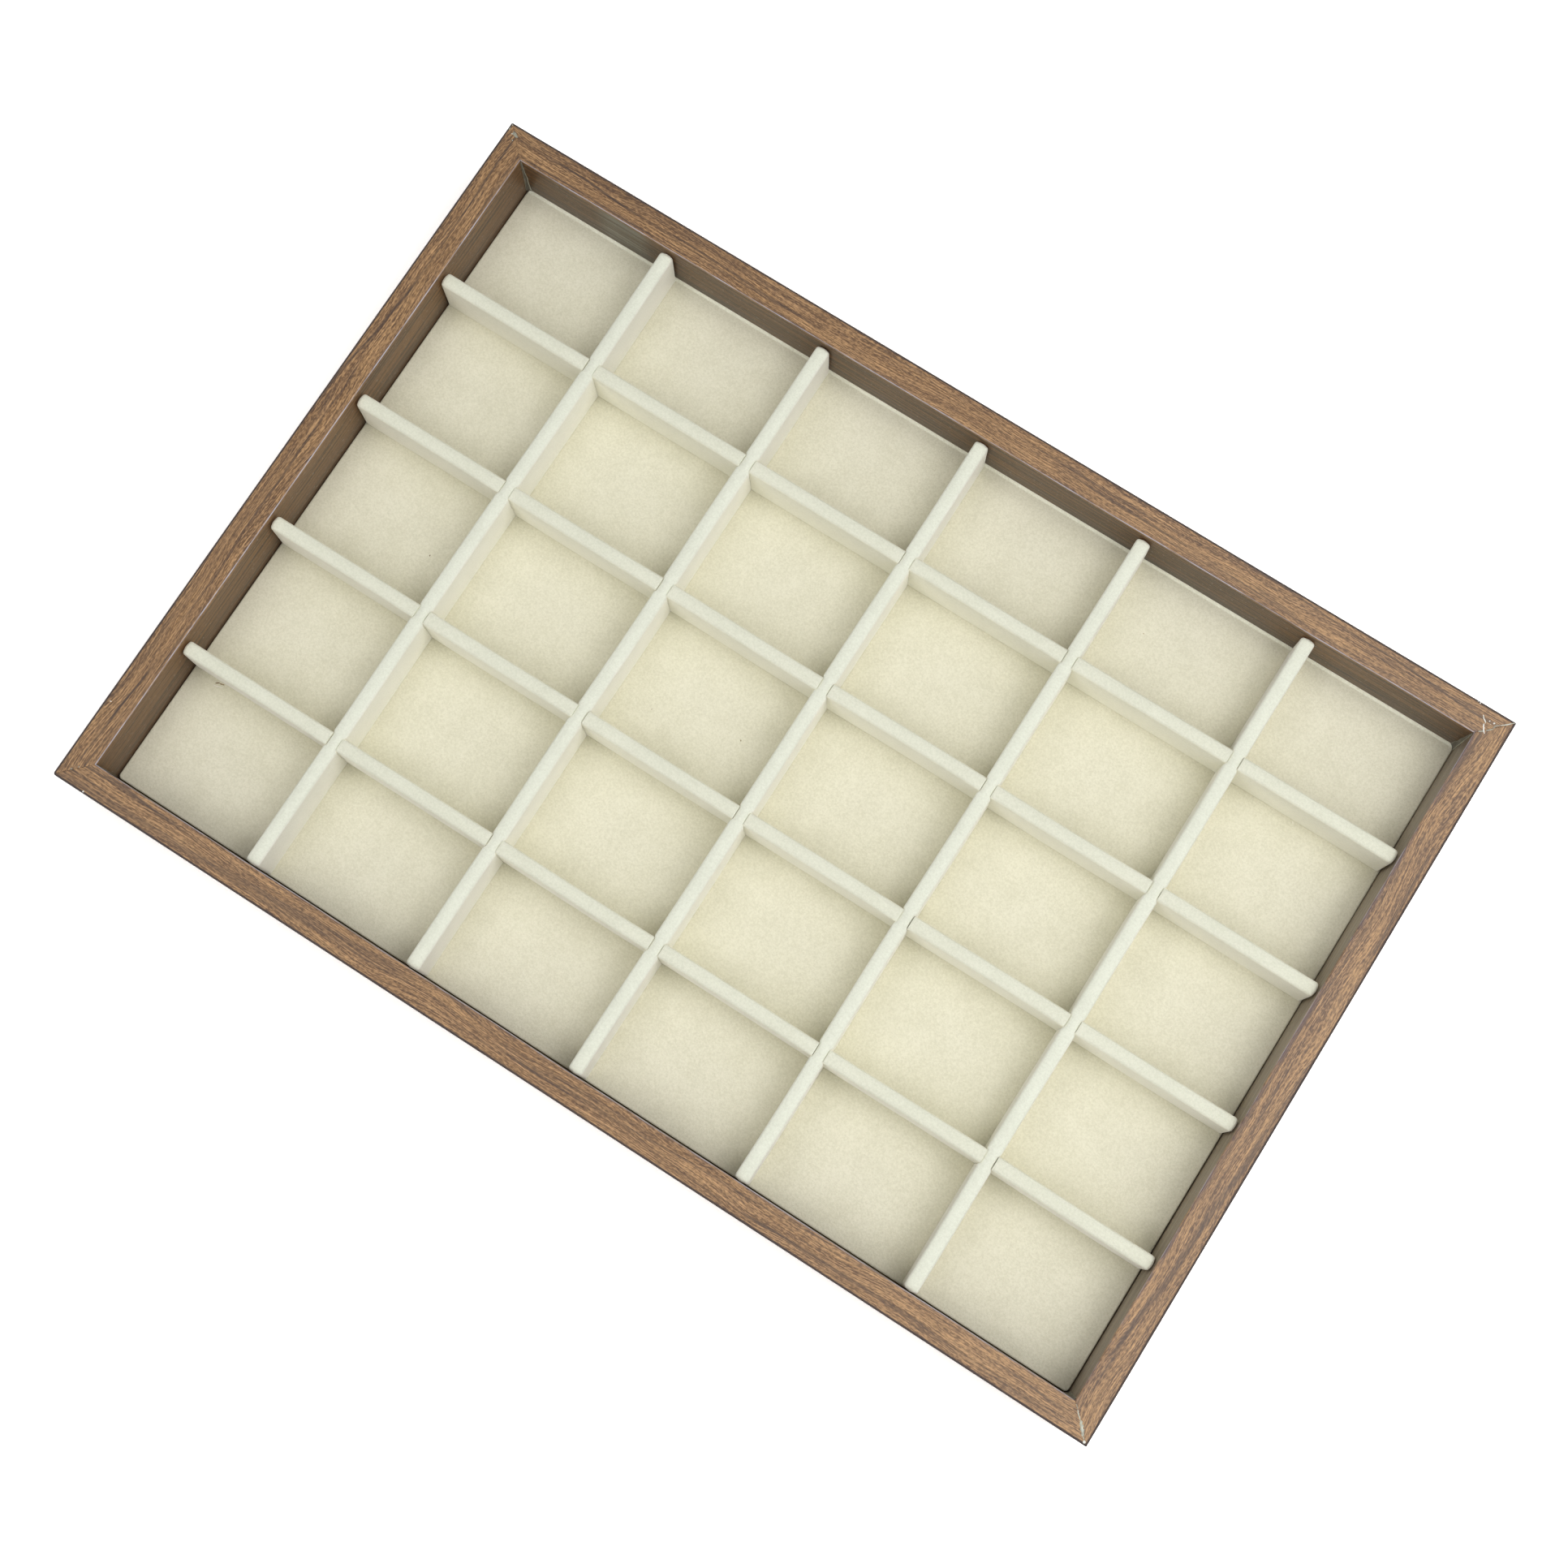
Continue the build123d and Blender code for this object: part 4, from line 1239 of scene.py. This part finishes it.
# %% [markdown]
# ## Lint
#
# A pulled thread of two strands lies at the foot of the front long divider, one hair lies at the foot of
# the back one, and a few specks have fallen on the pad. They are trails too, laid on the pad's own
# surface, so each takes its height from the pad at that place.

# %% Lint and specks
LINT_STOPS = [(0.0, (0.20, 0.13, 0.055)), (0.5, (0.52, 0.41, 0.24)), (1.0, (0.92, 0.89, 0.80))]
lint = Finish("lint", 0.9)
lint.set("Base Color", lint.ramp(lint.coordinate("UV", "X"), *LINT_STOPS))

# Each bit, in millimetres from the middle of the tray: its path, its width and its height, and its tone
LINT = [
    ([(-157.4, -71.5), (-156.9, -71.2), (-156.3, -70.7)], 0.42, 0.20, 0.15),
    ([(-156.3, -70.9), (-155.4, -70.75), (-154.7, -70.5)], 0.34, 0.18, 0.25),
    ([(-157.7, -72.3), (-156.6, -72.1), (-155.4, -71.7), (-154.5, -71.3)], 0.28, 0.20, 1.0),
    ([(136.6, 65.5), (136.9, 65.2), (137.2, 64.7)], 0.24, 0.16, 1.0),
    ([(-125.3, -4.0), (-124.9, -4.0)], 0.55, 0.14, 0.0),
    ([(-14.5, -1.7), (-14.2, -1.5)], 0.45, 0.12, 0.20),
    ([(-42.2, -7.9), (-42.0, -7.9)], 0.35, 0.10, 0.35),
    ([(70.0, 90.8), (70.2, 91.0)], 0.35, 0.10, 0.45),
    ([(39.7, 46.9), (39.9, 46.9)], 0.32, 0.10, 0.40),
    ([(-9.9, 100.8), (-9.7, 100.8)], 0.30, 0.10, 0.40),
]
bits = []
for path, width, height, tone in LINT:
    places = np.array(path) * MM
    start_height = float(pad_height(places[:1, 0], places[:1, 1])[0])
    bits.append(trail(places, width * MM, height * MM, start_height, tone, 90 + len(bits)))
points, faces, uv = join_parts(bits)
make_piece("lint", points, faces, lint, "tray", uv=uv)

# %% [markdown]
# ## The felt
#
# The felt under the tray is a thin sheet with a soft, slightly uneven edge. It is one grid with rounded
# corners, and a Solidify modifier gives it its thickness upwards. Two noises, one of them stretched and
# bent, stand for the fuzz and the matted strands, because real hairs would never be seen down there.

# %% Felt
FELT_DEEP, FELT_LIGHT = (0.045, 0.030, 0.022), (0.105, 0.075, 0.055)
FUZZ_SCALE, FUZZ_DEPTH = (1.4, 1.4, 1.4), 0.25 * MM
STRAND_SCALE, STRAND_TURN, STRAND_BEND = (0.5, 2.6, 1.0), (0, 0, 0.6), 1.5
FELT_CORNER, FELT_STEP = 2.0 * MM, 6 * MM
FELT_WAVE, FELT_SHORT = 30 * MM, (0.0006, 0.0008)

felt_finish = Finish("brown_felt", 0.95, Sheen_Weight=0.3, Sheen_Roughness=0.6, Specular_IOR_Level=0.1)
fuzz = felt_finish.noise(felt_finish.places(FUZZ_SCALE), detail=5.0, rough=0.75)
strands = felt_finish.places(STRAND_SCALE, turn=STRAND_TURN)
strands = felt_finish.noise(strands, detail=3.0, distortion=STRAND_BEND)
felt_tone = felt_finish.sum_of("MULTIPLY_ADD", fuzz, 0.6, felt_finish.times(strands, 0.4))
felt_finish.set("Base Color", felt_finish.ramp(felt_tone, (0.35, FELT_DEEP), (0.65, FELT_LIGHT)))
felt_finish.relief(fuzz, FUZZ_DEPTH)


def felt_sheet():
    """The felt's underside as one grid. Its edges wander inwards by up to a small share of its size."""
    lines_x, lines_y = lines_across(felt_high.x, FELT_STEP), lines_across(felt_high.y, FELT_STEP)
    flat_x, flat_y = np.meshgrid(lines_x, lines_y)
    x, y = round_plan(flat_x, flat_y, felt_high.x, felt_high.y, FELT_CORNER)
    x = x * (1 - FELT_SHORT[0] * (1 + wander(flat_y, FELT_WAVE, 31)) / 2)
    y = y * (1 - FELT_SHORT[1] * (1 + wander(flat_x, FELT_WAVE, 32)) / 2)
    points = np.stack([x, y, np.full(x.shape, felt_low.z)], axis=-1).reshape(-1, 3)
    return points, grid_quads(*x.shape)[:, ::-1]


points, faces = felt_sheet()
felt = make_piece("felt_sheet", points, faces, felt_finish, "tray", ("underside_felt",))
thicken(felt, "felt_thickness", felt_high.z - felt_low.z)

# %% [markdown]
# ## Finishes of the hidden pieces
#
# The rail cores, the boards, the foam and the nails keep their CAD shapes. They show when the tray is
# taken apart, so each has its own finish. Boards, card and foam are all one thing to a shader, fine
# fibres or cells between two colours, so one function makes them.

# %% Finishes of the hidden pieces
def fibrous(name, light, deep, grain, roughness, depth):
    """Board, card or foam: fine fibres or cells of a given size in millimetres between two colours."""
    made = Finish(name, roughness, Specular_IOR_Level=0.25)
    fibre = made.noise(made.places((1 / grain,) * 3), detail=5.0, rough=0.7)
    made.set("Base Color", made.ramp(fibre, (0.35, deep), (0.65, light)))
    made.relief(fibre, depth)
    return made


fibreboard = fibrous("fibreboard", (0.42, 0.29, 0.17), (0.30, 0.20, 0.11), 0.7, 0.85, 0.06 * MM)
hardboard = fibrous("hardboard", (0.22, 0.14, 0.08), (0.15, 0.09, 0.05), 0.9, 0.6, 0.04 * MM)
greyboard = fibrous("greyboard", (0.42, 0.40, 0.36), (0.30, 0.285, 0.255), 0.8, 0.9, 0.05 * MM)
foam = fibrous("foam", (0.82, 0.80, 0.70), (0.62, 0.60, 0.52), 0.5, 0.95, 0.20 * MM)
ZINC_SCALE = (0.8, 0.8, 0.2)
nail_steel = Finish("nail_steel", 0.38, Metallic=1.0)
zinc = nail_steel.noise(nail_steel.places(ZINC_SCALE), detail=3.0)
nail_steel.set("Base Color", nail_steel.ramp(zinc, (0.4, (0.42, 0.43, 0.44)), (0.6, (0.62, 0.63, 0.64))))

hidden_finishes = {
    **{f"{side}_rail_core": fibreboard for side in RAILS},
    **{f"{name}_core": greyboard for name in LONG_NAMES + SHORT_NAMES},
    "base_board": hardboard,
    "pad_board": greyboard,
    "pad_foam": foam,
    "corner_v_nails": nail_steel,
}
for node_name, finish in hidden_finishes.items():
    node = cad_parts[node_name]
    node.data.materials.clear()
    node.data.materials.append(finish.material)
print("hidden nodes finished:", len(hidden_finishes))

# %% [markdown] ## The end
# The soft shapes must not make the tray larger or smaller than its solids.
